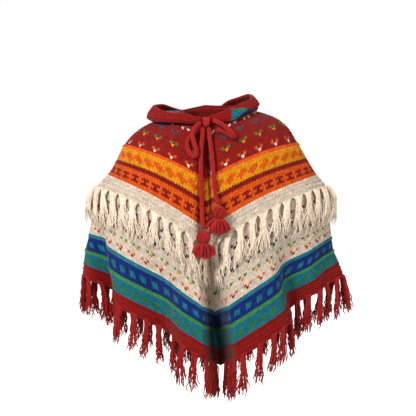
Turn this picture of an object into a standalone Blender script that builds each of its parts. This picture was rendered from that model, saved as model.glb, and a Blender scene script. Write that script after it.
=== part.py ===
"""Hooded, two-tier knitted wool poncho, worn: hollow, open at the neck and hem.

Metres, +Z up, the front faces -Y. The origin is at the base of the neck, at
shoulder height, where a wearer's shoulders hold the garment up.
"""
import math

import bpy
import numpy as np

# ------------------------------------------------------------------ sizes
WALL = 0.0035            # bulky knitted cloth
TIER_STEP = 0.0048       # middle of the upper cloth to middle of the lower cloth
SEAM_GAP = 0.0012        # between pieces that are sewn edge to edge
ROW_NECK = 0.0           # knitted rows, counted down from the neck
ROW_LOWER_TOP = 38.0     # the lower tier starts here, under the upper border
ROW_UPPER_HEM = 44.0
ROW_HEM = 90.0
FRINGE_UPPER = 0.088     # length of the cream fringe
FRINGE_LOWER = 0.088     # length of the red fringe
FRINGE_WALL = 0.006
CORD_DIAMETER = 0.0115    # crocheted drawstring
RIM_WALL = 0.005
ROUND_OVER = 0.07        # the rows round over the arms, as a share of a quarter row
TASSEL_HEAD = 0.0175     # radius
KNOT_CENTRE = (-0.0040, -0.1040, 0.0140)
KNOT_SIZE = (0.0085, 0.0085, 0.0135)      # half sizes

# One row for each level section of the cloth. Half widths and heights are those
# of the side seams, front/back are the centre lines. "bow" is how far the front's
# rows rise between the seam and the centre, above an even slope.
SECTION_COLUMNS = ("row", "left", "right", "centre_x", "side_y", "front_y", "back_y",
                   "left_z", "right_z", "front_z", "back_z", "round", "bow")
SECTIONS = (
    # row   left   right  cx      sy      fy      by     lz      rz      fz      bz     n   bow
    (0.0, 0.084, 0.084, -0.008, -0.004, -0.079, 0.062, 0.040, 0.058, 0.009, 0.066, 2.0, 0.000),
    (5.0, 0.122, 0.128, -0.008, 0.002, -0.095, 0.085, 0.028, 0.048, -0.023, 0.036, 2.1, 0.003),
    (10.0, 0.161, 0.172, -0.007, 0.004, -0.108, 0.101, 0.012, 0.033, -0.060, -0.004, 2.1, 0.007),
    (15.0, 0.195, 0.209, -0.006, 0.004, -0.118, 0.111, -0.012, 0.006, -0.097, -0.050, 2.1, 0.013),
    (20.0, 0.220, 0.236, -0.006, 0.004, -0.126, 0.118, -0.043, -0.037, -0.133, -0.098, 2.1, 0.019),
    (29.0, 0.242, 0.262, -0.005, 0.004, -0.139, 0.127, -0.086, -0.083, -0.196, -0.163, 2.0, 0.022),
    (37.0, 0.264, 0.287, -0.004, 0.004, -0.150, 0.133, -0.122, -0.123, -0.261, -0.228, 2.0, 0.024),
    (44.0, 0.294, 0.312, 0.001, 0.004, -0.158, 0.138, -0.156, -0.155, -0.312, -0.279, 1.9, 0.031),
    (56.0, 0.308, 0.323, 0.010, 0.004, -0.164, 0.142, -0.215, -0.222, -0.392, -0.360, 1.9, 0.026),
    (69.0, 0.317, 0.330, 0.019, 0.004, -0.169, 0.145, -0.275, -0.283, -0.476, -0.444, 1.9, 0.020),
    (76.0, 0.327, 0.335, 0.024, 0.004, -0.172, 0.147, -0.314, -0.316, -0.521, -0.489, 1.9, 0.014),
    (83.0, 0.332, 0.348, 0.029, 0.004, -0.174, 0.149, -0.351, -0.347, -0.569, -0.537, 1.9, 0.014),
    (90.0, 0.336, 0.364, 0.033, 0.004, -0.176, 0.151, -0.389, -0.390, -0.616, -0.584, 1.9, 0.024),
)

# One row for each fold. "quarter" is front/back and left/right as the viewer sees
# them from the front; "at" is where it lies, as a share of the way from the side
# seam to the centre line; depth is inwards (a ridge has a negative depth). A larger
# "edge" gives the fold a flatter bottom and sharper edges.
FOLD_COLUMNS = ("quarter", "at_top", "at_hem", "width_top", "width_hem",
                "depth_top", "depth_hem", "start", "pinch", "edge")
FOLDS = (
    # quarter  at_t  at_h  w_t    w_h    d_t     d_h    start  pinch edge
    ("FL", 1.000, 1.000, 0.013, 0.027, 0.013, 0.105, 0.0, 0.10, 3.5),
    ("FR", 1.000, 1.000, 0.013, 0.027, 0.013, 0.105, 0.0, 0.10, 3.5),
    ("FL", 0.080, 0.265, 0.027, 0.034, 0.000, 0.070, 53.0, 0.00, 3.0),
    ("FL", 0.460, 0.430, 0.060, 0.045, 0.000, -0.016, 48.0, 0.10, 2.6),
    ("FL", 0.640, 0.640, 0.055, 0.042, 0.000, 0.044, 45.0, 0.20, 2.6),
    ("FR", 0.480, 0.450, 0.048, 0.028, 0.000, 0.066, 48.0, 0.05, 2.8),
    ("FR", 0.690, 0.700, 0.070, 0.060, 0.000, -0.018, 46.0, 0.00, 2.6),
    ("FR", 0.220, 0.210, 0.050, 0.040, 0.000, 0.018, 56.0, 0.10, 2.6),
    ("FL", 0.560, 0.560, 0.080, 0.080, 0.004, 0.004, 6.0, 0.00, 2.6),
    ("FR", 0.560, 0.600, 0.080, 0.080, 0.005, 0.005, 6.0, 0.00, 2.6),
    ("BL", 1.000, 1.000, 0.030, 0.036, 0.004, 0.046, 26.0, 0.10, 2.6),
    ("BR", 1.000, 1.000, 0.030, 0.036, 0.004, 0.046, 26.0, 0.10, 2.6),
    ("BL", 0.280, 0.260, 0.050, 0.036, 0.000, 0.050, 46.0, 0.10, 2.6),
    ("BL", 0.620, 0.600, 0.060, 0.044, 0.000, 0.032, 42.0, 0.20, 2.6),
    ("BR", 0.330, 0.350, 0.050, 0.038, 0.000, 0.044, 44.0, 0.10, 2.6),
    ("BR", 0.690, 0.680, 0.060, 0.046, 0.000, 0.030, 40.0, 0.20, 2.6),
)

# The hood, folded down. "way" runs from the front round the viewer's left, the
# back and the right. Each pair is the distance out from the neck seam and up from
# it of a line that runs round the hood: where it lies on the shoulders, the
# bottom of its bag, the bag's outer side, the joint with the rim, the rim's edge.
HOOD_COLUMNS = ("way", "bearing", "lay_out", "lay_up", "belly_out", "belly_up",
                "outer_out", "outer_up", "joint_out", "joint_up", "edge_out", "edge_up")
HOOD = (
    # way  bearing lay_o  lay_u   bel_o  bel_u   out_o  out_u   jnt_o  jnt_u   edg_o  edg_u
    (0.000, 8, 0.0012, 0.0015, 0.0022, 0.0005, 0.0050, -0.0020, 0.0100, 0.0020, 0.0070, 0.0140),
    (0.060, 14, 0.0030, 0.0030, 0.0060, -0.0010, 0.0120, -0.0080, 0.0185, -0.0050, 0.0120, 0.0090),
    (0.120, 24, 0.0070, 0.0020, 0.0130, -0.0040, 0.0230, -0.0150, 0.0320, -0.0100, 0.0190, 0.0080),
    (0.180, 42, 0.0130, 0.0010, 0.0280, -0.0120, 0.0430, -0.0230, 0.0550, -0.0150, 0.0370, 0.0045),
    (0.230, 62, 0.0190, 0.0000, 0.0400, -0.0145, 0.0560, -0.0260, 0.0680, -0.0170, 0.0490, 0.0090),
    (0.280, 87, 0.0290, 0.0000, 0.0540, -0.0140, 0.0670, -0.0200, 0.0750, -0.0080, 0.0570, 0.0200),
    (0.330, 112, 0.0430, -0.0010, 0.0690, -0.0220, 0.0810, -0.0150, 0.0760, 0.0030, 0.0560, 0.0200),
    (0.420, 150, 0.0500, -0.0280, 0.0860, -0.1300, 0.1120, -0.0820, 0.0960, -0.0180, 0.0660, 0.0010),
    (0.500, 180, 0.0560, -0.0560, 0.0920, -0.2000, 0.1280, -0.1150, 0.1080, -0.0420, 0.0720, -0.0180),
    (0.580, 210, 0.0500, -0.0310, 0.0860, -0.1300, 0.1120, -0.0760, 0.0940, -0.0060, 0.0640, 0.0230),
    (0.670, 248, 0.0380, 0.0020, 0.0600, -0.0120, 0.0670, -0.0030, 0.0600, 0.0120, 0.0390, 0.0340),
    (0.720, 275, 0.0220, 0.0020, 0.0390, -0.0040, 0.0480, -0.0040, 0.0500, 0.0080, 0.0320, 0.0280),
    (0.770, 298, 0.0150, 0.0010, 0.0290, -0.0080, 0.0380, -0.0110, 0.0420, 0.0000, 0.0270, 0.0160),
    (0.830, 320, 0.0110, 0.0010, 0.0240, -0.0080, 0.0330, -0.0110, 0.0370, 0.0000, 0.0210, 0.0160),
    (0.880, 336, 0.0060, 0.0010, 0.0140, -0.0070, 0.0230, -0.0180, 0.0310, -0.0140, 0.0170, 0.0140),
    (0.940, 345, 0.0030, 0.0030, 0.0060, -0.0010, 0.0120, -0.0080, 0.0185, -0.0050, 0.0120, 0.0120),
    (1.000, 352, 0.0012, 0.0015, 0.0022, 0.0005, 0.0050, -0.0020, 0.0100, 0.0020, 0.0070, 0.0140),
)

# Routes of the drawstring: x, z, and how far its near side lies off the cloth.
ROUTE_COLUMNS = ("x", "z", "lift")
CORD_ROUTES = {
    "cord_loop_left": (
        (-0.0190, 0.0125, 0.0140), (-0.0285, 0.0040, 0.0150), (-0.0365, -0.0060, 0.0160),
        (-0.0396, -0.0199, 0.0165), (-0.0372, -0.0353, 0.0150), (-0.0320, -0.0507, 0.0140),
        (-0.0285, -0.0640, 0.0120), (-0.0312, -0.0750, 0.0075), (-0.0400, -0.0722, 0.0025),
        (-0.0485, -0.0610, 0.0010), (-0.0528, -0.0481, 0.0010), (-0.0515, -0.0366, 0.0010),
        (-0.0455, -0.0250, 0.0010), (-0.0355, -0.0130, 0.0010), (-0.0270, -0.0080, 0.0010),
    ),
    "cord_loop_right": (
        (0.0115, 0.0185, 0.0150), (0.0225, 0.0140, 0.0165), (0.0359, 0.0070, 0.0165),
        (0.0493, -0.0035, 0.0160), (0.0600, -0.0140, 0.0145), (0.0658, -0.0208, 0.0115),
        (0.0676, -0.0240, 0.0075), (0.0650, -0.0245, 0.0035), (0.0590, -0.0215, 0.0010),
        (0.0470, -0.0155, 0.0005), (0.0340, -0.0100, 0.0005), (0.0210, -0.0060, 0.0010),
    ),
    "cord_end_left": (
        (-0.0125, 0.0000, 0.0110), (-0.0135, -0.0110, 0.0060), (-0.0150, -0.0302, 0.0030),
        (-0.0175, -0.0507, 0.0020), (-0.0180, -0.0789, 0.0015), (-0.0178, -0.1156, 0.0015),
        (-0.0165, -0.1562, 0.0015), (-0.0152, -0.1968, 0.0030), (-0.0140, -0.2324, 0.0110),
        (-0.0120, -0.2585, 0.0215),
    ),
    "cord_end_right": (
        (0.0030, 0.0000, 0.0110), (0.0030, -0.0110, 0.0070), (0.0042, -0.0276, 0.0040),
        (0.0072, -0.0507, 0.0020), (0.0108, -0.0789, 0.0015), (0.0132, -0.1105, 0.0015),
        (0.0155, -0.1410, 0.0025), (0.0190, -0.1714, 0.0085), (0.0250, -0.1975, 0.0175),
    ),
}
# Centre of each tassel's tied head: x, z, and its gap to the cloth.
TASSELS = {"left": (-0.0112, -0.2800, 0.0120), "right": (0.0270, -0.2190, 0.0080)}
TASSEL_SKIRT = (0.0100, 0.0265, 0.0360)   # radius at the head, at the tips, length
TASSEL_FLAT = 0.64                        # depth of the skirt over its width

# how many quads across and down
FRONT_COLUMNS = 38
BACK_COLUMNS = 30
HOOD_COLUMNS_ROUND = 40
HOOD_BODY_SHARES = (0.0, 0.14, 0.28, 0.42, 0.50, 0.56, 0.62, 0.70, 0.85, 1.0)
RIM_GAP = 0.0010         # half the gap at the joint of the hood and its rim
RIM_WRAP = 0.007         # the rim's inner edge lies this far inside the turn
YOKE_ROWS = (0, 5, 10, 15, 20, 29, 38, 44)
SKIRT_ROWS = (38.0, 44, 52, 61, 70, 77, 84, 90)

SCARLET = (0.345, 0.020, 0.018, 1.0)
CREAM = (0.730, 0.625, 0.490, 1.0)
TEAL = (0.020, 0.170, 0.250, 1.0)


# ------------------------------------------------------- curves through tables
def ease(xs, ys, x):
    """A smooth line through the points (xs, ys) that doesn't overshoot them."""
    xs, ys = np.asarray(xs, float), np.asarray(ys, float)
    x = np.clip(np.asarray(x, float), xs[0], xs[-1])
    h, d = np.diff(xs), np.diff(ys) / np.diff(xs)
    m = np.zeros(len(xs))
    m[0], m[-1] = d[0], d[-1]
    for i in range(1, len(xs) - 1):
        if d[i - 1] * d[i] > 0:
            w1, w2 = 2 * h[i] + h[i - 1], h[i] + 2 * h[i - 1]
            m[i] = (w1 + w2) / (w1 / d[i - 1] + w2 / d[i])
    i = np.clip(np.searchsorted(xs, x, side="right") - 1, 0, len(h) - 1)
    t = (x - xs[i]) / h[i]
    return (ys[i] * (1 + 2 * t) * (1 - t) ** 2 + h[i] * m[i] * t * (1 - t) ** 2
            + ys[i + 1] * t * t * (3 - 2 * t) + h[i] * m[i + 1] * t * t * (t - 1))


def column(table, names, key):
    return [row[names.index(key)] for row in table]


def section(row):
    """The sizes of the cloth's level section at a knitted row."""
    rows = column(SECTIONS, SECTION_COLUMNS, "row")
    return {k: float(ease(rows, column(SECTIONS, SECTION_COLUMNS, k), row))
            for k in SECTION_COLUMNS[1:]}


def lengths(points):
    return np.concatenate([[0.0], np.cumsum(np.linalg.norm(np.diff(points, axis=0), axis=1))])


def even(points, shares):
    """Points at these shares of a line's length."""
    s = lengths(points)
    at = np.asarray(shares) * s[-1]
    return np.stack([np.interp(at, s, points[:, k]) for k in range(points.shape[1])], 1)


def quarter_row(quarter, row, folded=True, samples=160):
    """One knitted row of a quarter of the cloth, from the side seam (0) to the
    centre line (1), with points evenly spaced along the knitting."""
    z = section(min(max(row, 0.0), ROW_HEM))
    face, side = quarter
    sign = -1.0 if side == "L" else 1.0
    xs = sign * (z["left"] if side == "L" else z["right"])
    xc, ys = z["centre_x"], z["side_y"]
    yc = z["front_y"] if face == "F" else z["back_y"]
    angle = np.linspace(0, math.pi / 2, 4 * samples)
    power = 2.0 / z["round"]
    plan = np.stack([xc + (xs - xc) * np.clip(np.cos(angle), 0, 1) ** power,
                     ys + (yc - ys) * np.clip(np.sin(angle), 0, 1) ** power], 1)
    plan = even(plan, np.linspace(0, 1, samples))
    run = lengths(plan)
    tangent = np.gradient(plan, axis=0)
    tangent /= np.linalg.norm(tangent, axis=1)[:, None]
    turn = sign * (1.0 if face == "F" else -1.0)
    inward = turn * np.stack([tangent[:, 1], -tangent[:, 0]], 1)
    level = run / run[-1]
    if folded:
        moved, sides = plan.copy(), plan.copy()
        for name, at_t, at_h, w_t, w_h, d_t, d_h, start, pinch, edge in FOLDS:
            if name != quarter:
                continue
            grow = min(max((row - start) / (ROW_HEM - start), 0.0), 1.0)
            rise = min(max((row - start) / 6.0, 0.0), 1.0)
            depth = (d_t + (d_h - d_t) * grow ** 1.25) * rise * rise * (3 - 2 * rise)
            width = w_t + (w_h - w_t) * grow
            at = at_t + (at_h - at_t) * grow
            q = (run - at * run[-1]) / width
            bell = np.exp(-np.abs(q) ** edge)
            shift = inward * (depth * bell)[:, None]
            shift -= tangent * (pinch * abs(depth) * q * np.exp(-q * q) * (at < 1.0))[:, None]
            moved += shift
            if at < 1.0:
                sides += shift
        plan = moved
        level = lengths(sides) / lengths(sides)[-1]
    share = lengths(plan)
    share /= share[-1]
    zs = z["left_z"] if side == "L" else z["right_z"]
    zc = z["front_z"] if face == "F" else z["back_z"]
    drop = (np.sqrt(level ** 2 + ROUND_OVER ** 2) - ROUND_OVER) / (math.sqrt(1 + ROUND_OVER ** 2) - ROUND_OVER)
    height = zs + (zc - zs) * drop      # the centre fold runs level into the cloth
    if face == "F":
        height = height + z["bow"] * 4 * level * (1 - level)
    line = np.concatenate([plan, height[:, None]], 1)
    return np.stack([np.interp(np.linspace(0, 1, samples), share, line[:, k])
                     for k in range(3)], 1)


class Quarter:
    """A quarter of the cloth as a grid of points and outward normals."""

    def __init__(self, quarter, folded=True):
        self.rows = np.arange(0.0, ROW_HEM + 0.5, 1.0)
        self.samples = 161
        self.grid = np.array([quarter_row(quarter, r, folded, self.samples) for r in self.rows])
        across = np.gradient(self.grid, axis=1)
        down = np.gradient(self.grid, axis=0)
        n = np.cross(across, down)
        flip = (1.0 if quarter[1] == "L" else -1.0) * (1.0 if quarter[0] == "F" else -1.0)
        n *= -flip
        n /= np.linalg.norm(n, axis=2)[:, :, None] + 1e-12
        self.normals = n

    def _read(self, field, share, row):
        r = min(max(row, self.rows[0]), self.rows[-1])
        i = min(int(r), len(self.rows) - 2)
        c = np.clip(np.asarray(share, float), 0, 1) * (self.samples - 1)
        j = np.minimum(c.astype(int), self.samples - 2)
        fr, fc = r - i, (c - j)[:, None]
        top = field[i, j] * (1 - fc) + field[i, j + 1] * fc
        low = field[i + 1, j] * (1 - fc) + field[i + 1, j + 1] * fc
        return top * (1 - fr) + low * fr

    def at(self, share, row, off=0.0):
        p = self._read(self.grid, share, row)
        n = self._read(self.normals, share, row)
        n /= np.linalg.norm(n, axis=1)[:, None] + 1e-12
        return p + n * off, n


CLOTH = {q: Quarter(q) for q in ("FL", "FR", "BL", "BR")}
PLAIN = {q: Quarter(q, folded=False) for q in ("FL", "FR")}


def across(face, count, row=ROW_HEM):
    """Places across a face, closer where the cloth bends: (side, share) pairs from
    the left seam to the right one."""
    pairs = []
    for side in "LR":
        line = CLOTH[face + side].grid[int(row)]
        step = np.diff(line[:, :2], axis=0)
        size = np.linalg.norm(step, axis=1)
        bearing = np.unwrap(np.arctan2(step[:, 1], step[:, 0]))
        weight = size / size.sum() + 0.060 * np.concatenate([[0], np.abs(np.diff(bearing))])
        total = np.concatenate([[0], np.cumsum(weight)])
        total /= total[-1]
        share = np.interp(np.linspace(0, 1, count // 2), total, np.linspace(0, 1, len(total)))
        share = np.sort(np.append(share, 0.014))
        pairs.append([(side, s) for s in share])
    return pairs[0] + pairs[1][::-1][1:]


def row_points(face, places, row, off=0.0):
    out, normals = [], []
    for side in "LR":
        cloth = CLOTH[face + side]
        edge = 0.5 * SEAM_GAP / lengths(cloth.grid[int(row)])[-1]
        shares = [max(s, edge) for d, s in places if d == side]
        if shares:
            p, n = cloth.at(shares, row, off)
            out.extend(p)
            normals.extend(n)
    return np.array(out), np.array(normals)


# ------------------------------------------------------------- object helpers
def collection(name):
    found = bpy.data.collections.get(name) or bpy.data.collections.new(name)
    if name not in bpy.context.scene.collection.children:
        bpy.context.scene.collection.children.link(found)
    return found


def material(name, colour, roughness):
    m = bpy.data.materials.new(name)
    m.use_nodes = True
    shader = m.node_tree.nodes["Principled BSDF"]
    shader.inputs["Base Color"].default_value = colour
    shader.inputs["Roughness"].default_value = roughness
    shader.inputs["Metallic"].default_value = 0.0
    return m


def add(name, mesh, colour, roughness=0.9, smooth=True):
    o = bpy.data.objects.new(name, mesh)
    GARMENT.objects.link(o)
    mesh.materials.append(material(name + "_wool", colour, roughness))
    if smooth:
        mesh.shade_smooth()
    return o


def sheet(name, rows, colour, wall):
    """A knitted wall: an open grid of points, thickened both ways."""
    rows = [np.asarray(r) for r in rows]
    n = len(rows[0])
    verts = [tuple(p) for r in rows for p in r]
    faces = []
    for i in range(len(rows) - 1):
        for j in range(n - 1):
            a = i * n + j
            faces.append((a, a + n, a + n + 1, a + 1))
    mesh = bpy.data.meshes.new(name)
    mesh.from_pydata(verts, [], faces)
    mesh.validate()
    o = add(name, mesh, colour)
    thick = o.modifiers.new("wall", "SOLIDIFY")
    thick.thickness = wall
    thick.offset = 0.0
    return o


def tube(name, points, radius, colour):
    data = bpy.data.curves.new(name, "CURVE")
    data.dimensions = "3D"
    data.bevel_depth = radius
    data.bevel_resolution = 2
    data.use_fill_caps = True
    spline = data.splines.new("POLY")
    spline.points.add(len(points) - 1)
    for p, q in zip(spline.points, points):
        p.co = (q[0], q[1], q[2], 1.0)
    o = bpy.data.objects.new(name, data)
    GARMENT.objects.link(o)
    data.materials.append(material(name + "_wool", colour, 0.9))
    return o


def turned(name, profile, colour, centre, steps=12):
    """A turned solid: (radius, height) pairs down its outer side."""
    mesh = bpy.data.meshes.new(name)
    verts = [(r, 0.0, h) for r, h in profile]
    mesh.from_pydata(verts, [(i, i + 1) for i in range(len(verts) - 1)], [])
    o = add(name, mesh, colour)
    o.location = centre
    screw = o.modifiers.new("turn", "SCREW")
    screw.axis = "Z"
    screw.angle = 2 * math.pi
    screw.steps = steps
    screw.render_steps = steps
    screw.use_merge_vertices = True
    screw.merge_threshold = 0.00005
    screw.use_normal_calculate = False
    return o


def smooth_line(points, spacing):
    """A smooth curve through the points, with points at about this spacing."""
    p = np.asarray(points, float)
    ext = np.vstack([2 * p[0] - p[1], p, 2 * p[-1] - p[-2]])
    line = []
    for i in range(1, len(ext) - 2):
        a, b, c, d = ext[i - 1], ext[i], ext[i + 1], ext[i + 2]
        for t in np.linspace(0, 1, 24, endpoint=False):
            line.append(0.5 * (2 * b + (c - a) * t + (2 * a - 5 * b + 4 * c - d) * t * t
                               + (3 * b - a - 3 * c + d) * t ** 3))
    line.append(p[-1])
    line = np.array(line)
    count = max(4, int(round(lengths(line)[-1] / spacing)) + 1)
    return even(line, np.linspace(0, 1, count))


def front_y(x, z, clear):
    """The y in front of the unfolded cloth, at this x and z, where a point is this
    far from the middle of the cloth."""
    best, at = None, 0.0
    for q in ("FL", "FR"):
        g = PLAIN[q].grid
        d = (g[:, :, 0] - x) ** 2 + (g[:, :, 2] - z) ** 2
        i, j = np.unravel_index(np.argmin(d), d.shape)
        if best is None or d[i, j] < best:
            best, p, n = d[i, j], g[i, j], PLAIN[q].normals[i, j]
            at = p[1] - (n[0] * (x - p[0]) + n[2] * (z - p[2]) - clear) / n[1]
    return float(at)


# --------------------------------------------------------------- the garment
for o in list(bpy.data.objects):
    bpy.data.objects.remove(o, do_unlink=True)
GARMENT = collection("knitted_poncho")


def build_tiers():
    for face, columns, label in (("F", FRONT_COLUMNS, "front"), ("B", BACK_COLUMNS, "back")):
        places = across(face, columns)
        sheet("yoke_" + label, [row_points(face, places, r)[0] for r in YOKE_ROWS],
              SCARLET, WALL)
        sheet("skirt_" + label, [row_points(face, places, r, -TIER_STEP)[0] for r in SKIRT_ROWS],
              CREAM, WALL)
        # cream fringe: hangs from the upper border, over the lower tier
        top, low = row_points(face, places, ROW_UPPER_HEM)[0], row_points(face, places, 69.0)[0]
        reach = np.linalg.norm(low - top, axis=1) / (69.0 - ROW_UPPER_HEM)
        rows = []
        for t in (0.0, 0.5, 1.0):
            line = []
            for k, (side, share) in enumerate(places):
                row = ROW_UPPER_HEM + 0.2 + t * FRINGE_UPPER / reach[k]
                p, n = CLOTH[face + side].at([max(share, 0.0012)], row,
                                             0.0042 + 0.0030 * math.sin(math.pi * t * 0.75))
                line.append(p[0])
            rows.append(np.array(line))
        rows[0][:, 2] -= 0.0012
        sheet("fringe_upper_" + label, rows, CREAM, FRINGE_WALL)
        # red fringe: hangs straight down from the hem
        hem, normal = row_points(face, places, ROW_HEM, -TIER_STEP)
        normal[:, 2] = 0.0
        rows = []
        for t in (0.0, 0.5, 1.0):
            p = hem + normal * (0.0002 + 0.006 * t)
            p[:, 2] -= 0.0012 + FRINGE_LOWER * t
            rows.append(p)
        sheet("fringe_lower_" + label, rows, SCARLET, 0.005)


def neck_seam(way):
    """The neck's edge, from the front centre (0) round the left, back and right."""
    quarter, share = (("FL", 1 - way * 4) if way <= 0.25 else ("BL", way * 4 - 1) if way <= 0.5
                      else ("BR", 3 - way * 4) if way <= 0.75 else ("FR", way * 4 - 3))
    p, n = PLAIN_ALL[quarter].at([share], 0.0)
    return p[0] + n[0] * 0.0012 + np.array([0, 0, 0.0036])


def hood_line(way):
    """The hood's line from the neck seam out to the rim's edge, at one place round
    the neck, smoothly joined, and its length up to the joint with the rim."""
    ways = column(HOOD, HOOD_COLUMNS, "way")
    v = {k: float(ease(ways, column(HOOD, HOOD_COLUMNS, k), way)) for k in HOOD_COLUMNS[1:]}
    bearing = math.radians(v["bearing"])
    out = np.array([-math.sin(bearing), -math.cos(bearing), 0.0])
    seam = neck_seam(way)
    flat = [(0.0, 0.0)] + [(v[k + "_out"], v[k + "_up"])
                           for k in ("lay", "belly", "outer", "joint", "edge")]
    pts = np.array([seam + out * a + np.array([0, 0, b]) for a, b in flat])
    knots = np.array([0.0, 0.22, 0.46, 0.66, 0.82, 1.0])
    ext = np.vstack([2 * pts[0] - pts[1], pts, 2 * pts[-1] - pts[-2]])
    ek = np.concatenate([[-0.22], knots, [1.18]])
    line = []
    for s in np.linspace(0, 1, 101):
        i = min(max(int(np.searchsorted(ek, s, side="right")) - 1, 1), len(ek) - 3)
        t = (s - ek[i]) / (ek[i + 1] - ek[i])
        m0 = (ext[i + 1] - ext[i - 1]) / (ek[i + 1] - ek[i - 1]) * (ek[i + 1] - ek[i])
        m1 = (ext[i + 2] - ext[i]) / (ek[i + 2] - ek[i]) * (ek[i + 1] - ek[i])
        line.append(ext[i] * (1 + 2 * t) * (1 - t) ** 2 + m0 * t * (1 - t) ** 2
                    + ext[i + 1] * t * t * (3 - 2 * t) + m1 * t * t * (t - 1))
    line = np.array(line)
    return line, lengths(line)[82]


PLAIN_ALL = {q: Quarter(q, folded=False) for q in ("FL", "FR", "BL", "BR")}


def build_hood():
    ways = [0.014 + 0.972 * i / HOOD_COLUMNS_ROUND for i in range(HOOD_COLUMNS_ROUND + 1)]
    body, rim = [], []
    for w in ways:
        line, joint = hood_line(w)
        total = lengths(line)[-1]
        cut = joint - min(RIM_WRAP, 0.55 * joint)
        body.append(even(line, np.array(HOOD_BODY_SHARES) * (cut - RIM_GAP) / total))
        rim.append(even(line, np.array([cut + RIM_GAP, 0.5 * (cut + joint), joint + 0.001,
                                        0.5 * (joint + total), total]) / total))
    sheet("hood", np.swapaxes(np.array(body), 0, 1), TEAL, WALL)
    sheet("hood_rim", np.swapaxes(np.array(rim), 0, 1), SCARLET, RIM_WALL)


def build_cord():
    r = CORD_DIAMETER / 2
    for name, route in CORD_ROUTES.items():
        points = [(x, front_y(x, z, WALL / 2 + r + lift), z) for x, z, lift in route]
        tube(name, smooth_line(points, 0.0105 if "loop" in name else 0.018), r, SCARLET)
    cx, cy, cz = KNOT_CENTRE
    ax, ay, az = KNOT_SIZE
    bpy.ops.mesh.primitive_uv_sphere_add(segments=12, ring_count=8, radius=1.0)
    ball = bpy.context.active_object
    mesh = ball.data.copy()
    bpy.data.objects.remove(ball, do_unlink=True)
    for v in mesh.vertices:
        v.co = (cx + v.co.x * ax, cy + v.co.y * ay, cz + v.co.z * az)
    mesh.name = "knot"
    add("knot", mesh, SCARLET)
    for side, (x, z, gap) in TASSELS.items():
        y = front_y(x, z, WALL / 2 + TASSEL_HEAD + gap)
        bpy.ops.mesh.primitive_uv_sphere_add(segments=14, ring_count=9, radius=TASSEL_HEAD)
        ball = bpy.context.active_object
        mesh = ball.data.copy()
        bpy.data.objects.remove(ball, do_unlink=True)
        mesh.name = "tassel_head_" + side
        head = add("tassel_head_" + side, mesh, SCARLET)
        head.location = (x, y, z)
        top, low, length = TASSEL_SKIRT
        skirt = turned("tassel_skirt_" + side,
               [(0.0, 0.0), (top, 0.0), (0.5 * (top + low) + 0.002, -0.45 * length), (low, -length),
                (0.0, -length)],
               SCARLET, (x, y, z - TASSEL_HEAD - 0.0004))
        skirt.scale = (1.0, TASSEL_FLAT, 1.0)


build_tiers()
build_hood()
build_cord()
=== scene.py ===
import math

import bpy
import numpy as np
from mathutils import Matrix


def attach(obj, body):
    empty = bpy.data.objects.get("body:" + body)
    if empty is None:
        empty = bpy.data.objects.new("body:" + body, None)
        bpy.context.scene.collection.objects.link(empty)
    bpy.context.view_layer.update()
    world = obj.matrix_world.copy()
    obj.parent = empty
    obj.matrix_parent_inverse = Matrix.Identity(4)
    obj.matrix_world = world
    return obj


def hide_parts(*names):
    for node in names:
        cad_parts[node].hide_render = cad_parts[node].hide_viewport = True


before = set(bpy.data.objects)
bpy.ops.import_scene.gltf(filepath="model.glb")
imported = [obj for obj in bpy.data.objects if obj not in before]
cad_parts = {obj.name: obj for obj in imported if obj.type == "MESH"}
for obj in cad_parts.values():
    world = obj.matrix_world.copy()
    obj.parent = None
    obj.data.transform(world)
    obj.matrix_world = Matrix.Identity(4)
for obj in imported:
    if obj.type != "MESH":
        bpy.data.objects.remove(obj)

for start_object in ("Cube", "Light", "Camera"):       # what a new file holds
    if start_object in bpy.data.objects:
        bpy.data.objects.remove(bpy.data.objects[start_object], do_unlink=True)
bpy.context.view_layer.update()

# ------------------------------------------------------------------ sizes
WALL = 0.0035            # bulky knitted cloth
TIER_STEP = 0.0048       # middle of the upper cloth to middle of the lower cloth
SEAM_GAP = 0.0012        # between pieces that are sewn edge to edge
ROW_NECK = 0.0           # knitted rows, counted down from the neck
ROW_LOWER_TOP = 38.0     # the lower tier starts here, under the upper border
ROW_UPPER_HEM = 44.0
ROW_HEM = 90.0
FRINGE_UPPER = 0.088     # length of the cream fringe
FRINGE_LOWER = 0.088     # length of the red fringe
FRINGE_WALL = 0.006
CORD_DIAMETER = 0.0115    # crocheted drawstring
RIM_WALL = 0.005
ROUND_OVER = 0.07        # the rows round over the arms, as a share of a quarter row
TASSEL_HEAD = 0.0175     # radius
KNOT_CENTRE = (-0.0040, -0.1040, 0.0140)
KNOT_SIZE = (0.0085, 0.0085, 0.0135)      # half sizes

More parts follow.
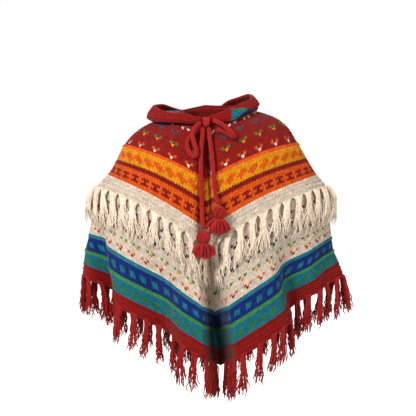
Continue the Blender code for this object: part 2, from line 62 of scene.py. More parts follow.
# One row for each level section of the cloth. Half widths and heights are those
# of the side seams, front/back are the centre lines. "bow" is how far the front's
# rows rise between the seam and the centre, above an even slope.
SECTION_COLUMNS = ("row", "left", "right", "centre_x", "side_y", "front_y", "back_y",
                   "left_z", "right_z", "front_z", "back_z", "round", "bow")
SECTIONS = (
    # row   left   right  cx      sy      fy      by     lz      rz      fz      bz     n   bow
    (0.0, 0.084, 0.084, -0.008, -0.004, -0.079, 0.062, 0.040, 0.058, 0.009, 0.066, 2.0, 0.000),
    (5.0, 0.122, 0.128, -0.008, 0.002, -0.095, 0.085, 0.028, 0.048, -0.023, 0.036, 2.1, 0.003),
    (10.0, 0.161, 0.172, -0.007, 0.004, -0.108, 0.101, 0.012, 0.033, -0.060, -0.004, 2.1, 0.007),
    (15.0, 0.195, 0.209, -0.006, 0.004, -0.118, 0.111, -0.012, 0.006, -0.097, -0.050, 2.1, 0.013),
    (20.0, 0.220, 0.236, -0.006, 0.004, -0.126, 0.118, -0.043, -0.037, -0.133, -0.098, 2.1, 0.019),
    (29.0, 0.242, 0.262, -0.005, 0.004, -0.139, 0.127, -0.086, -0.083, -0.196, -0.163, 2.0, 0.022),
    (37.0, 0.264, 0.287, -0.004, 0.004, -0.150, 0.133, -0.122, -0.123, -0.261, -0.228, 2.0, 0.024),
    (44.0, 0.294, 0.312, 0.001, 0.004, -0.158, 0.138, -0.156, -0.155, -0.312, -0.279, 1.9, 0.031),
    (56.0, 0.308, 0.323, 0.010, 0.004, -0.164, 0.142, -0.215, -0.222, -0.392, -0.360, 1.9, 0.026),
    (69.0, 0.317, 0.330, 0.019, 0.004, -0.169, 0.145, -0.275, -0.283, -0.476, -0.444, 1.9, 0.020),
    (76.0, 0.327, 0.335, 0.024, 0.004, -0.172, 0.147, -0.314, -0.316, -0.521, -0.489, 1.9, 0.014),
    (83.0, 0.332, 0.348, 0.029, 0.004, -0.174, 0.149, -0.351, -0.347, -0.569, -0.537, 1.9, 0.014),
    (90.0, 0.336, 0.364, 0.033, 0.004, -0.176, 0.151, -0.389, -0.390, -0.616, -0.584, 1.9, 0.024),
)

# One row for each fold. "quarter" is front/back and left/right as the viewer sees
# them from the front; "at" is where it lies, as a share of the way from the side
# seam to the centre line; depth is inwards (a ridge has a negative depth). A larger
# "edge" gives the fold a flatter bottom and sharper edges.
FOLD_COLUMNS = ("quarter", "at_top", "at_hem", "width_top", "width_hem",
                "depth_top", "depth_hem", "start", "pinch", "edge")
FOLDS = (
    # quarter  at_t  at_h  w_t    w_h    d_t     d_h    start  pinch edge
    ("FL", 1.000, 1.000, 0.013, 0.027, 0.013, 0.105, 0.0, 0.10, 3.5),
    ("FR", 1.000, 1.000, 0.013, 0.027, 0.013, 0.105, 0.0, 0.10, 3.5),
    ("FL", 0.080, 0.265, 0.027, 0.034, 0.000, 0.070, 53.0, 0.00, 3.0),
    ("FL", 0.460, 0.430, 0.060, 0.045, 0.000, -0.016, 48.0, 0.10, 2.6),
    ("FL", 0.640, 0.640, 0.055, 0.042, 0.000, 0.044, 45.0, 0.20, 2.6),
    ("FR", 0.480, 0.450, 0.048, 0.028, 0.000, 0.066, 48.0, 0.05, 2.8),
    ("FR", 0.690, 0.700, 0.070, 0.060, 0.000, -0.018, 46.0, 0.00, 2.6),
    ("FR", 0.220, 0.210, 0.050, 0.040, 0.000, 0.018, 56.0, 0.10, 2.6),
    ("FL", 0.560, 0.560, 0.080, 0.080, 0.004, 0.004, 6.0, 0.00, 2.6),
    ("FR", 0.560, 0.600, 0.080, 0.080, 0.005, 0.005, 6.0, 0.00, 2.6),
    ("BL", 1.000, 1.000, 0.030, 0.036, 0.004, 0.046, 26.0, 0.10, 2.6),
    ("BR", 1.000, 1.000, 0.030, 0.036, 0.004, 0.046, 26.0, 0.10, 2.6),
    ("BL", 0.280, 0.260, 0.050, 0.036, 0.000, 0.050, 46.0, 0.10, 2.6),
    ("BL", 0.620, 0.600, 0.060, 0.044, 0.000, 0.032, 42.0, 0.20, 2.6),
    ("BR", 0.330, 0.350, 0.050, 0.038, 0.000, 0.044, 44.0, 0.10, 2.6),
    ("BR", 0.690, 0.680, 0.060, 0.046, 0.000, 0.030, 40.0, 0.20, 2.6),
)

# The hood, folded down. "way" runs from the front round the viewer's left, the
# back and the right. Each pair is the distance out from the neck seam and up from
# it of a line that runs round the hood: where it lies on the shoulders, the
# bottom of its bag, the bag's outer side, the joint with the rim, the rim's edge.
HOOD_COLUMNS = ("way", "bearing", "lay_out", "lay_up", "belly_out", "belly_up",
                "outer_out", "outer_up", "joint_out", "joint_up", "edge_out", "edge_up")
HOOD = (
    # way  bearing lay_o  lay_u   bel_o  bel_u   out_o  out_u   jnt_o  jnt_u   edg_o  edg_u
    (0.000, 8, 0.0012, 0.0015, 0.0022, 0.0005, 0.0050, -0.0020, 0.0100, 0.0020, 0.0070, 0.0140),
    (0.060, 14, 0.0030, 0.0030, 0.0060, -0.0010, 0.0120, -0.0080, 0.0185, -0.0050, 0.0120, 0.0090),
    (0.120, 24, 0.0070, 0.0020, 0.0130, -0.0040, 0.0230, -0.0150, 0.0320, -0.0100, 0.0190, 0.0080),
    (0.180, 42, 0.0130, 0.0010, 0.0280, -0.0120, 0.0430, -0.0230, 0.0550, -0.0150, 0.0370, 0.0045),
    (0.230, 62, 0.0190, 0.0000, 0.0400, -0.0145, 0.0560, -0.0260, 0.0680, -0.0170, 0.0490, 0.0090),
    (0.280, 87, 0.0290, 0.0000, 0.0540, -0.0140, 0.0670, -0.0200, 0.0750, -0.0080, 0.0570, 0.0200),
    (0.330, 112, 0.0430, -0.0010, 0.0690, -0.0220, 0.0810, -0.0150, 0.0760, 0.0030, 0.0560, 0.0200),
    (0.420, 150, 0.0500, -0.0280, 0.0860, -0.1300, 0.1120, -0.0820, 0.0960, -0.0180, 0.0660, 0.0010),
    (0.500, 180, 0.0560, -0.0560, 0.0920, -0.2000, 0.1280, -0.1150, 0.1080, -0.0420, 0.0720, -0.0180),
    (0.580, 210, 0.0500, -0.0310, 0.0860, -0.1300, 0.1120, -0.0760, 0.0940, -0.0060, 0.0640, 0.0230),
    (0.670, 248, 0.0380, 0.0020, 0.0600, -0.0120, 0.0670, -0.0030, 0.0600, 0.0120, 0.0390, 0.0340),
    (0.720, 275, 0.0220, 0.0020, 0.0390, -0.0040, 0.0480, -0.0040, 0.0500, 0.0080, 0.0320, 0.0280),
    (0.770, 298, 0.0150, 0.0010, 0.0290, -0.0080, 0.0380, -0.0110, 0.0420, 0.0000, 0.0270, 0.0160),
    (0.830, 320, 0.0110, 0.0010, 0.0240, -0.0080, 0.0330, -0.0110, 0.0370, 0.0000, 0.0210, 0.0160),
    (0.880, 336, 0.0060, 0.0010, 0.0140, -0.0070, 0.0230, -0.0180, 0.0310, -0.0140, 0.0170, 0.0140),
    (0.940, 345, 0.0030, 0.0030, 0.0060, -0.0010, 0.0120, -0.0080, 0.0185, -0.0050, 0.0120, 0.0120),
    (1.000, 352, 0.0012, 0.0015, 0.0022, 0.0005, 0.0050, -0.0020, 0.0100, 0.0020, 0.0070, 0.0140),
)

# Routes of the drawstring: x, z, and how far its near side lies off the cloth.
ROUTE_COLUMNS = ("x", "z", "lift")
CORD_ROUTES = {
    "cord_loop_left": (
        (-0.0190, 0.0125, 0.0140), (-0.0285, 0.0040, 0.0150), (-0.0365, -0.0060, 0.0160),
        (-0.0396, -0.0199, 0.0165), (-0.0372, -0.0353, 0.0150), (-0.0320, -0.0507, 0.0140),
        (-0.0285, -0.0640, 0.0120), (-0.0312, -0.0750, 0.0075), (-0.0400, -0.0722, 0.0025),
        (-0.0485, -0.0610, 0.0010), (-0.0528, -0.0481, 0.0010), (-0.0515, -0.0366, 0.0010),
        (-0.0455, -0.0250, 0.0010), (-0.0355, -0.0130, 0.0010), (-0.0270, -0.0080, 0.0010),
    ),
    "cord_loop_right": (
        (0.0115, 0.0185, 0.0150), (0.0225, 0.0140, 0.0165), (0.0359, 0.0070, 0.0165),
        (0.0493, -0.0035, 0.0160), (0.0600, -0.0140, 0.0145), (0.0658, -0.0208, 0.0115),
        (0.0676, -0.0240, 0.0075), (0.0650, -0.0245, 0.0035), (0.0590, -0.0215, 0.0010),
        (0.0470, -0.0155, 0.0005), (0.0340, -0.0100, 0.0005), (0.0210, -0.0060, 0.0010),
    ),
    "cord_end_left": (
        (-0.0125, 0.0000, 0.0110), (-0.0135, -0.0110, 0.0060), (-0.0150, -0.0302, 0.0030),
        (-0.0175, -0.0507, 0.0020), (-0.0180, -0.0789, 0.0015), (-0.0178, -0.1156, 0.0015),
        (-0.0165, -0.1562, 0.0015), (-0.0152, -0.1968, 0.0030), (-0.0140, -0.2324, 0.0110),
        (-0.0120, -0.2585, 0.0215),
    ),
    "cord_end_right": (
        (0.0030, 0.0000, 0.0110), (0.0030, -0.0110, 0.0070), (0.0042, -0.0276, 0.0040),
        (0.0072, -0.0507, 0.0020), (0.0108, -0.0789, 0.0015), (0.0132, -0.1105, 0.0015),
        (0.0155, -0.1410, 0.0025), (0.0190, -0.1714, 0.0085), (0.0250, -0.1975, 0.0175),
    ),
}
# Centre of each tassel's tied head: x, z, and its gap to the cloth.
TASSELS = {"left": (-0.0112, -0.2800, 0.0120), "right": (0.0270, -0.2190, 0.0080)}
TASSEL_SKIRT = (0.0100, 0.0265, 0.0360)   # radius at the head, at the tips, length
TASSEL_FLAT = 0.64                        # depth of the skirt over its width


# ------------------------------------------------------- curves through tables
def ease(xs, ys, x):
    """A smooth line through the points (xs, ys) that doesn't overshoot them."""
    xs, ys = np.asarray(xs, float), np.asarray(ys, float)
    x = np.clip(np.asarray(x, float), xs[0], xs[-1])
    h, d = np.diff(xs), np.diff(ys) / np.diff(xs)
    m = np.zeros(len(xs))
    m[0], m[-1] = d[0], d[-1]
    for i in range(1, len(xs) - 1):
        if d[i - 1] * d[i] > 0:
            w1, w2 = 2 * h[i] + h[i - 1], h[i] + 2 * h[i - 1]
            m[i] = (w1 + w2) / (w1 / d[i - 1] + w2 / d[i])
    i = np.clip(np.searchsorted(xs, x, side="right") - 1, 0, len(h) - 1)
    t = (x - xs[i]) / h[i]
    return (ys[i] * (1 + 2 * t) * (1 - t) ** 2 + h[i] * m[i] * t * (1 - t) ** 2
            + ys[i + 1] * t * t * (3 - 2 * t) + h[i] * m[i + 1] * t * t * (t - 1))


def column(table, names, key):
    return [row[names.index(key)] for row in table]


def section(row):
    """The sizes of the cloth's level section at a knitted row."""
    rows = column(SECTIONS, SECTION_COLUMNS, "row")
    return {k: float(ease(rows, column(SECTIONS, SECTION_COLUMNS, k), row))
            for k in SECTION_COLUMNS[1:]}


def lengths(points):
    return np.concatenate([[0.0], np.cumsum(np.linalg.norm(np.diff(points, axis=0), axis=1))])


def even(points, shares):
    """Points at these shares of a line's length."""
    s = lengths(points)
    at = np.asarray(shares) * s[-1]
    return np.stack([np.interp(at, s, points[:, k]) for k in range(points.shape[1])], 1)


def quarter_row(quarter, row, folded=True, samples=160):
    """One knitted row of a quarter of the cloth, from the side seam (0) to the
    centre line (1), with points evenly spaced along the knitting."""
    z = section(min(max(row, 0.0), ROW_HEM))
    face, side = quarter
    sign = -1.0 if side == "L" else 1.0
    xs = sign * (z["left"] if side == "L" else z["right"])
    xc, ys = z["centre_x"], z["side_y"]
    yc = z["front_y"] if face == "F" else z["back_y"]
    angle = np.linspace(0, math.pi / 2, 4 * samples)
    power = 2.0 / z["round"]
    plan = np.stack([xc + (xs - xc) * np.clip(np.cos(angle), 0, 1) ** power,
                     ys + (yc - ys) * np.clip(np.sin(angle), 0, 1) ** power], 1)
    plan = even(plan, np.linspace(0, 1, samples))
    run = lengths(plan)
    tangent = np.gradient(plan, axis=0)
    tangent /= np.linalg.norm(tangent, axis=1)[:, None]
    turn = sign * (1.0 if face == "F" else -1.0)
    inward = turn * np.stack([tangent[:, 1], -tangent[:, 0]], 1)
    level = run / run[-1]
    if folded:
        moved, sides = plan.copy(), plan.copy()
        for name, at_t, at_h, w_t, w_h, d_t, d_h, start, pinch, edge in FOLDS:
            if name != quarter:
                continue
            grow = min(max((row - start) / (ROW_HEM - start), 0.0), 1.0)
            rise = min(max((row - start) / 6.0, 0.0), 1.0)
            depth = (d_t + (d_h - d_t) * grow ** 1.25) * rise * rise * (3 - 2 * rise)
            width = w_t + (w_h - w_t) * grow
            at = at_t + (at_h - at_t) * grow
            q = (run - at * run[-1]) / width
            bell = np.exp(-np.abs(q) ** edge)
            shift = inward * (depth * bell)[:, None]
            shift -= tangent * (pinch * abs(depth) * q * np.exp(-q * q) * (at < 1.0))[:, None]
            moved += shift
            if at < 1.0:
                sides += shift
        plan = moved
        level = lengths(sides) / lengths(sides)[-1]
    share = lengths(plan)
    share /= share[-1]
    zs = z["left_z"] if side == "L" else z["right_z"]
    zc = z["front_z"] if face == "F" else z["back_z"]
    drop = (np.sqrt(level ** 2 + ROUND_OVER ** 2) - ROUND_OVER) / (math.sqrt(1 + ROUND_OVER ** 2) - ROUND_OVER)
    height = zs + (zc - zs) * drop      # the centre fold runs level into the cloth
    if face == "F":
        height = height + z["bow"] * 4 * level * (1 - level)
    line = np.concatenate([plan, height[:, None]], 1)
    return np.stack([np.interp(np.linspace(0, 1, samples), share, line[:, k])
                     for k in range(3)], 1)


class Quarter:
    """A quarter of the cloth as a grid of points and outward normals."""

    def __init__(self, quarter, folded=True):
        self.rows = np.arange(0.0, ROW_HEM + 0.5, 1.0)
        self.samples = 161
        self.grid = np.array([quarter_row(quarter, r, folded, self.samples) for r in self.rows])
        across = np.gradient(self.grid, axis=1)
        down = np.gradient(self.grid, axis=0)
        n = np.cross(across, down)
        flip = (1.0 if quarter[1] == "L" else -1.0) * (1.0 if quarter[0] == "F" else -1.0)
        n *= -flip
        n /= np.linalg.norm(n, axis=2)[:, :, None] + 1e-12
        self.normals = n

    def _read(self, field, share, row):
        r = min(max(row, self.rows[0]), self.rows[-1])
        i = min(int(r), len(self.rows) - 2)
        c = np.clip(np.asarray(share, float), 0, 1) * (self.samples - 1)
        j = np.minimum(c.astype(int), self.samples - 2)
        fr, fc = r - i, (c - j)[:, None]
        top = field[i, j] * (1 - fc) + field[i, j + 1] * fc
        low = field[i + 1, j] * (1 - fc) + field[i + 1, j + 1] * fc
        return top * (1 - fr) + low * fr

    def at(self, share, row, off=0.0):
        p = self._read(self.grid, share, row)
        n = self._read(self.normals, share, row)
        n /= np.linalg.norm(n, axis=1)[:, None] + 1e-12
        return p + n * off, n


def smooth_line(points, spacing):
    """A smooth curve through the points, with points at about this spacing."""
    p = np.asarray(points, float)
    ext = np.vstack([2 * p[0] - p[1], p, 2 * p[-1] - p[-2]])
    line = []
    for i in range(1, len(ext) - 2):
        a, b, c, d = ext[i - 1], ext[i], ext[i + 1], ext[i + 2]
        for t in np.linspace(0, 1, 24, endpoint=False):
            line.append(0.5 * (2 * b + (c - a) * t + (2 * a - 5 * b + 4 * c - d) * t * t
                               + (3 * b - a - 3 * c + d) * t ** 3))
    line.append(p[-1])
    line = np.array(line)
    count = max(4, int(round(lengths(line)[-1] / spacing)) + 1)
    return even(line, np.linspace(0, 1, count))


def front_y(x, z, clear):
    """The y in front of the unfolded cloth, at this x and z, where a point is this
    far from the middle of the cloth."""
    best, at = None, 0.0
    for q in ("FL", "FR"):
        g = PLAIN[q].grid
        d = (g[:, :, 0] - x) ** 2 + (g[:, :, 2] - z) ** 2
        i, j = np.unravel_index(np.argmin(d), d.shape)
        if best is None or d[i, j] < best:
            best, p, n = d[i, j], g[i, j], PLAIN[q].normals[i, j]
            at = p[1] - (n[0] * (x - p[0]) + n[2] * (z - p[2]) - clear) / n[1]
    return float(at)


def neck_seam(way):
    """The neck's edge, from the front centre (0) round the left, back and right."""
    quarter, share = (("FL", 1 - way * 4) if way <= 0.25 else ("BL", way * 4 - 1) if way <= 0.5
                      else ("BR", 3 - way * 4) if way <= 0.75 else ("FR", way * 4 - 3))
    p, n = PLAIN_ALL[quarter].at([share], 0.0)
    return p[0] + n[0] * 0.0012 + np.array([0, 0, 0.0036])


def hood_line(way):
    """The hood's line from the neck seam out to the rim's edge, at one place round
    the neck, smoothly joined, and its length up to the joint with the rim."""
    ways = column(HOOD, HOOD_COLUMNS, "way")
    v = {k: float(ease(ways, column(HOOD, HOOD_COLUMNS, k), way)) for k in HOOD_COLUMNS[1:]}
    bearing = math.radians(v["bearing"])
    out = np.array([-math.sin(bearing), -math.cos(bearing), 0.0])
    seam = neck_seam(way)
    flat = [(0.0, 0.0)] + [(v[k + "_out"], v[k + "_up"])
                           for k in ("lay", "belly", "outer", "joint", "edge")]
    pts = np.array([seam + out * a + np.array([0, 0, b]) for a, b in flat])
    knots = np.array([0.0, 0.22, 0.46, 0.66, 0.82, 1.0])
    ext = np.vstack([2 * pts[0] - pts[1], pts, 2 * pts[-1] - pts[-2]])
    ek = np.concatenate([[-0.22], knots, [1.18]])
    line = []
    for s in np.linspace(0, 1, 101):
        i = min(max(int(np.searchsorted(ek, s, side="right")) - 1, 1), len(ek) - 3)
        t = (s - ek[i]) / (ek[i + 1] - ek[i])
        m0 = (ext[i + 1] - ext[i - 1]) / (ek[i + 1] - ek[i - 1]) * (ek[i + 1] - ek[i])
        m1 = (ext[i + 2] - ext[i]) / (ek[i + 2] - ek[i]) * (ek[i + 1] - ek[i])
        line.append(ext[i] * (1 + 2 * t) * (1 - t) ** 2 + m0 * t * (1 - t) ** 2
                    + ext[i + 1] * t * t * (3 - 2 * t) + m1 * t * t * (t - 1))
    line = np.array(line)
    return line, lengths(line)[82]


STITCH = 0.008           # width of a stitch
COLUMNS = 4              # mesh columns to a stitch
OUT = 0.0013             # the relief's ground, out from the middle of the cloth
YOKE_SHEAR = 0.0030      # the yoke's wales move outwards by this at each row
CREAM_PITCH = 0.0335     # from one cream tassel to the next
RED_PITCH = 0.042        # and of the red ones
RNG = np.random.default_rng(11)

CLOTH = {q: Quarter(q) for q in ("FL", "FR", "BL", "BR")}
PLAIN = {q: Quarter(q, folded=False) for q in ("FL", "FR", "BL", "BR")}
PLAIN_ALL = PLAIN
for half in "FB":            # both halves of a face end on one centre line
    left, right = CLOTH[half + "L"], CLOTH[half + "R"]
    near = np.clip((np.linspace(0, 1, left.samples) - 0.88) / 0.12, 0, 1) ** 2
    for field in ("grid", "normals"):
        a, b = getattr(left, field), getattr(right, field)
        middle = 0.5 * (a[:, -1:] + b[:, -1:])
        a += (middle - a[:, -1:]) * near[None, :, None]
        b += (middle - b[:, -1:]) * near[None, :, None]
ROWS = CLOTH["FL"].rows
ROW_LENGTH = {q: np.array([lengths(g)[-1] for g in c.grid]) for q, c in CLOTH.items()}


def row_length(quarter, row):
    return np.interp(row, ROWS, ROW_LENGTH[quarter])


def surface(quarter, share, row, off):
    """Points and outward normals of a quarter at arrays of share and row."""
    c = CLOTH[quarter]
    share, row, off = np.broadcast_arrays(share, row, off)
    r = np.clip(row, c.rows[0], c.rows[-1] - 1e-6)
    i = r.astype(int)
    fr = (r - i)[..., None]
    u = np.clip(share, 0, 1) * (c.samples - 1)
    j = np.minimum(u.astype(int), c.samples - 2)
    fc = (u - j)[..., None]

    def read(f):
        top = f[i, j] * (1 - fc) + f[i, j + 1] * fc
        low = f[i + 1, j] * (1 - fc) + f[i + 1, j + 1] * fc
        return top * (1 - fr) + low * fr
    p, n = read(c.grid), read(c.normals)
    n = n / (np.linalg.norm(n, axis=-1)[..., None] + 1e-12)
    wob = 0.0009 * np.sin(47 * p[..., 0] + 23 * p[..., 2] + 1.0) * np.sin(39 * p[..., 2] - 17 * p[..., 0]) \
        * np.clip(share * 12, 0, 1)
    return p + n * (off + wob)[..., None], n


OTHER_SIDE = {"FL": "FR", "FR": "FL", "BL": "BR", "BR": "BL"}
OTHER_FACE = {"FL": "BL", "BL": "FL", "FR": "BR", "BR": "FR"}


def place(quarter, d, row, off):
    """The surface at a distance d from the centre line, carried on over the centre
    line and over the side seam."""
    d, row, off = (np.array(a, float) for a in np.broadcast_arrays(d, row, off))
    total = row_length(quarter, row)
    p, n = surface(quarter, 1 - d / total, row, off)
    over = d < 0
    if over.any():
        q = OTHER_SIDE[quarter]
        p2, n2 = surface(q, 1 + d / row_length(q, row), row, off)
        p[over], n[over] = p2[over], n2[over]
    past = d > total
    if past.any():
        q = OTHER_FACE[quarter]
        p2, n2 = surface(q, (d - total) / row_length(q, row), row, off)
        p[past], n[past] = p2[past], n2[past]
    return p, n


# ------------------------------------------------------------------- colours
def srgb(*c):
    return tuple(((v / 255) / 12.92 if v / 255 <= 0.04045 else ((v / 255 + 0.055) / 1.055) ** 2.4)
                 for v in c)


YARN = {
    "red": srgb(160, 36, 33), "crimson": srgb(162, 32, 31), "cord": srgb(172, 36, 34),
    "orange": srgb(247, 100, 30), "gold": srgb(255, 168, 32), "maroon": srgb(150, 30, 32),
    "cream": srgb(252, 234, 214), "white": srgb(248, 240, 228), "teal": srgb(34, 128, 152),
    "navy": srgb(26, 50, 130), "green": srgb(68, 150, 74), "petrol": srgb(24, 92, 110),
    "dark": srgb(30, 34, 72), "yellow": srgb(252, 168, 26), "leaf": srgb(60, 130, 66),
}

# ------------------------------------------------- bands, motifs and flecks
BAND_COLUMNS = ("tier", "first", "end", "yarn", "kind")
BANDS = (
    ("yoke", 0, 20, "red", "knit"),
    ("yoke", 20, 21, "orange", "purl"),
    ("yoke", 21, 28, "gold", "knit"),
    ("yoke", 28, 30, "maroon", "knit"),
    ("yoke", 30, 37, "orange", "knit"),
    ("yoke", 37, 44, "cream", "garter"),
    ("skirt", 38, 69, "cream", "knit"),
    ("skirt", 69, 70, "teal", "purl"),
    ("skirt", 70, 76, "navy", "knit"),
    ("skirt", 76, 77, "green", "purl"),
    ("skirt", 77, 83, "teal", "knit"),
    ("skirt", 83, 90, "crimson", "garter"),
)
# Small repeats, written from the centre line outwards, four stitches to a repeat.
HOURGLASS = ("XXX.", ".X..", "XXX.")
LEAF = ("..XX", ".XXX", "XXX.", ".X..")
BLOB = ("XX..", "XX..")
STAR = (".X..", "XXX.", ".X..")
MOTIFS = (
    # tier, first row, chart, yarn, shift in stitches
    ("yoke", 23, LEAF, "orange", 1),
    ("yoke", 32, HOURGLASS, "maroon", 1),
    ("skirt", 72, BLOB, "teal", 2),
    ("skirt", 79, STAR, "leaf", 1),
)
FLECK_COLUMNS = ("tier", "row", "pitch", "start_left", "start_right", "upper", "lower")
FLECKS = (
    ("yoke", 4, 0.048, 0.060, 0.036, "white", None),
    ("yoke", 7, 0.048, 0.040, 0.012, "petrol", "petrol"),
    ("yoke", 12, 0.048, 0.046, 0.014, "green", "yellow"),
    ("yoke", 17, 0.048, 0.053, 0.016, "orange", "white"),
    ("skirt", 48, 0.040, 0.018, 0.030, "maroon", "dark"),
    ("skirt", 52, 0.040, 0.038, 0.010, "dark", "maroon"),
    ("skirt", 56, 0.040, 0.018, 0.030, "petrol", "dark"),
    ("skirt", 61, 0.040, 0.038, 0.012, "green", "yellow"),
    ("skirt", 65, 0.040, 0.018, 0.030, "orange", "maroon"),
)


def band_of(tier, row):
    for b in BANDS:
        if b[0] == tier and b[1] <= row < b[2]:
            return b
    return [b for b in BANDS if b[0] == tier][-1]


def stitch_yarn(tier, side, row, stitch, shear):
    """The yarn of one stitch: stitch counts outwards from the centre line."""
    yarn = band_of(tier, row)[3]
    for t, first, chart, colour, shift in MOTIFS:
        if t == tier and first <= row < first + len(chart):
            if chart[row - first][(stitch + shift) % 4] == "X":
                yarn = colour
    for t, first, pitch, sl, sr, upper, lower in FLECKS:
        if t == tier and first <= row <= first + 1:
            start = sl if side == "L" else sr
            d = (stitch + 0.5) * STITCH + shear * (first + 0.5)
            k = round((d - start) / pitch)
            if k < 0:
                continue
            middle = int(round((start + k * pitch - shear * (first + 0.5)) / STITCH - 0.5))
            if row == first and abs(stitch - middle) == 1:
                yarn = upper
            if row == first + 1 and stitch == middle and lower:
                yarn = lower
    return yarn


# ----------------------------------------------------------------- materials
def wool(name, fuzz=1.0, ply=0.0, sheen=0.07):
    """Wool that takes its colour from the mesh: heathered, with painted shade (darker,
    a little richer) between the stitches, with a fine fibre grain and a soft nap."""
    m = bpy.data.materials.new(name)
    m.use_nodes = True
    nt = m.node_tree
    b = nt.nodes["Principled BSDF"]
    b.inputs["Roughness"].default_value = 0.92
    b.inputs["Specular IOR Level"].default_value = 0.18
    b.inputs["Sheen Weight"].default_value = sheen
    b.inputs["Sheen Roughness"].default_value = 0.55

    def node(kind, **v):
        n = nt.nodes.new(kind)
        for k, x in v.items():
            if k in n.inputs.keys():
                n.inputs[k].default_value = x
            else:
                setattr(n, k, x)
        return n

    def link(a, b2):
        nt.links.new(a, b2)
    colour = node("ShaderNodeVertexColor", layer_name="yarn")
    relief = node("ShaderNodeAttribute", attribute_name="relief")
    co = node("ShaderNodeTexCoord")
    fine = node("ShaderNodeTexNoise", Scale=1400.0, Detail=3.0, Roughness=0.7)
    wide = node("ShaderNodeTexNoise", Scale=70.0, Detail=4.0, Roughness=0.6)
    hair = node("ShaderNodeTexNoise", Scale=420.0, Detail=5.0, Roughness=0.65, Distortion=1.5)
    tuft = node("ShaderNodeTexNoise", Scale=210.0, Detail=3.0, Roughness=0.6, Distortion=0.8)
    for n in (fine, wide, hair, tuft):
        link(co.outputs["Object"], n.inputs["Vector"])

    def remap(out, lo, hi):
        r = node("ShaderNodeMapRange")
        r.inputs["From Min"].default_value = 0.3
        r.inputs["From Max"].default_value = 0.7
        r.inputs["To Min"].default_value = lo
        r.inputs["To Max"].default_value = hi
        link(out, r.inputs["Value"])
        return r.outputs["Result"]

    def mul(a, c):
        n = node("ShaderNodeMath", operation="MULTIPLY")
        link(a, n.inputs[0])
        link(c, n.inputs[1])
        return n.outputs[0]
    # painted shade: the colour darkens where the relief is low, between the stitches
    deep = node("ShaderNodeMapRange")
    deep.inputs["To Min"].default_value = 0.64
    deep.inputs["To Max"].default_value = 1.06
    link(relief.outputs["Fac"], deep.inputs["Value"])
    value = mul(mul(remap(fine.outputs["Fac"], 0.82, 1.16), remap(wide.outputs["Fac"], 0.92, 1.07)),
                mul(mul(remap(hair.outputs["Fac"], 0.86, 1.12), remap(tuft.outputs["Fac"], 0.76, 1.20)),
                    deep.outputs["Result"]))
    hsv = node("ShaderNodeHueSaturation")
    link(value, hsv.inputs["Value"])
    link(colour.outputs["Color"], hsv.inputs["Color"])
    rich = node("ShaderNodeMapRange")                # painted shade: the hollows between stitches are also richer in colour
    rich.inputs["To Min"].default_value = 1.06
    rich.inputs["To Max"].default_value = 1.0
    link(relief.outputs["Fac"], rich.inputs["Value"])
    link(rich.outputs["Result"], hsv.inputs["Saturation"])
    link(hsv.outputs["Color"], b.inputs["Base Color"])
    bump = node("ShaderNodeBump", Strength=0.55 * fuzz, Distance=0.0006)
    height = node("ShaderNodeMath", operation="ADD")
    link(hair.outputs["Fac"], height.inputs[0])
    link(fine.outputs["Fac"], height.inputs[1])
    out = height.outputs[0]
    if ply:
        uv = node("ShaderNodeUVMap", uv_map="Knit")
        wave = node("ShaderNodeTexWave", Scale=ply, Distortion=1.2)
        wave.bands_direction = "DIAGONAL"
        wave.inputs["Detail Scale"].default_value = 2.0
        link(uv.outputs["UV"], wave.inputs["Vector"])
        add2 = node("ShaderNodeMath", operation="ADD")
        link(wave.outputs["Fac"], add2.inputs[0])
        link(out, add2.inputs[1])
        out = add2.outputs[0]
    link(out, bump.inputs["Height"])
    link(bump.outputs["Normal"], b.inputs["Normal"])
    return m


# --------------------------------------------------------------- mesh helpers
PIECES = bpy.data.collections.new("poncho_looks")
bpy.context.scene.collection.children.link(PIECES)


def make_piece(name, verts, faces, colours, relief, uvs, material, nodes, smooth=True):
    """A piece from points, faces (lists of indices), a colour for each face, a
    relief for each point and a pair of UVs for each corner."""
    mesh = bpy.data.meshes.new(name)
    flat = np.concatenate([np.asarray(f) for f in faces])
    used, flat = np.unique(flat, return_inverse=True)
    sizes = np.array([len(f) for f in faces])
    ends = np.cumsum(sizes)
    flat = flat.ravel().tolist()
    faces = [flat[e - n:e] for e, n in zip(ends.tolist(), sizes.tolist())]
    verts, relief = np.asarray(verts)[used], np.asarray(relief)[used]
    mesh.from_pydata([tuple(v) for v in verts], [], faces)
    per_corner = np.repeat(np.asarray(colours, float), sizes, axis=0)
    c = mesh.color_attributes.new("yarn", "FLOAT_COLOR", "CORNER")
    rgba = np.concatenate([per_corner, np.ones((len(per_corner), 1))], 1)
    c.data.foreach_set("color", rgba.astype(np.float32).ravel())
    a = mesh.attributes.new("relief", "FLOAT", "POINT")
    a.data.foreach_set("value", np.asarray(relief, np.float32))
    if uvs is not None:
        uv = mesh.uv_layers.new(name="Knit")
        uv.data.foreach_set("uv", np.asarray(uvs, np.float32).ravel())
    mesh.materials.append(material)
    if smooth:
        mesh.shade_smooth()
    mesh.validate()
    o = bpy.data.objects.new(name, mesh)
    PIECES.objects.link(o)
    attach(o, "root")
    if nodes:
        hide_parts(*nodes)
    return o


def orient(verts, faces):
    """Turns all faces of a closed mesh outwards, by its signed volume."""
    v = np.asarray(verts)
    total = 0.0
    for f in faces:
        a = v[f[0]]
        for k in range(1, len(f) - 1):
            total += np.dot(a, np.cross(v[f[k]], v[f[k + 1]]))
    return faces if total > 0 else [f[::-1] for f in faces]


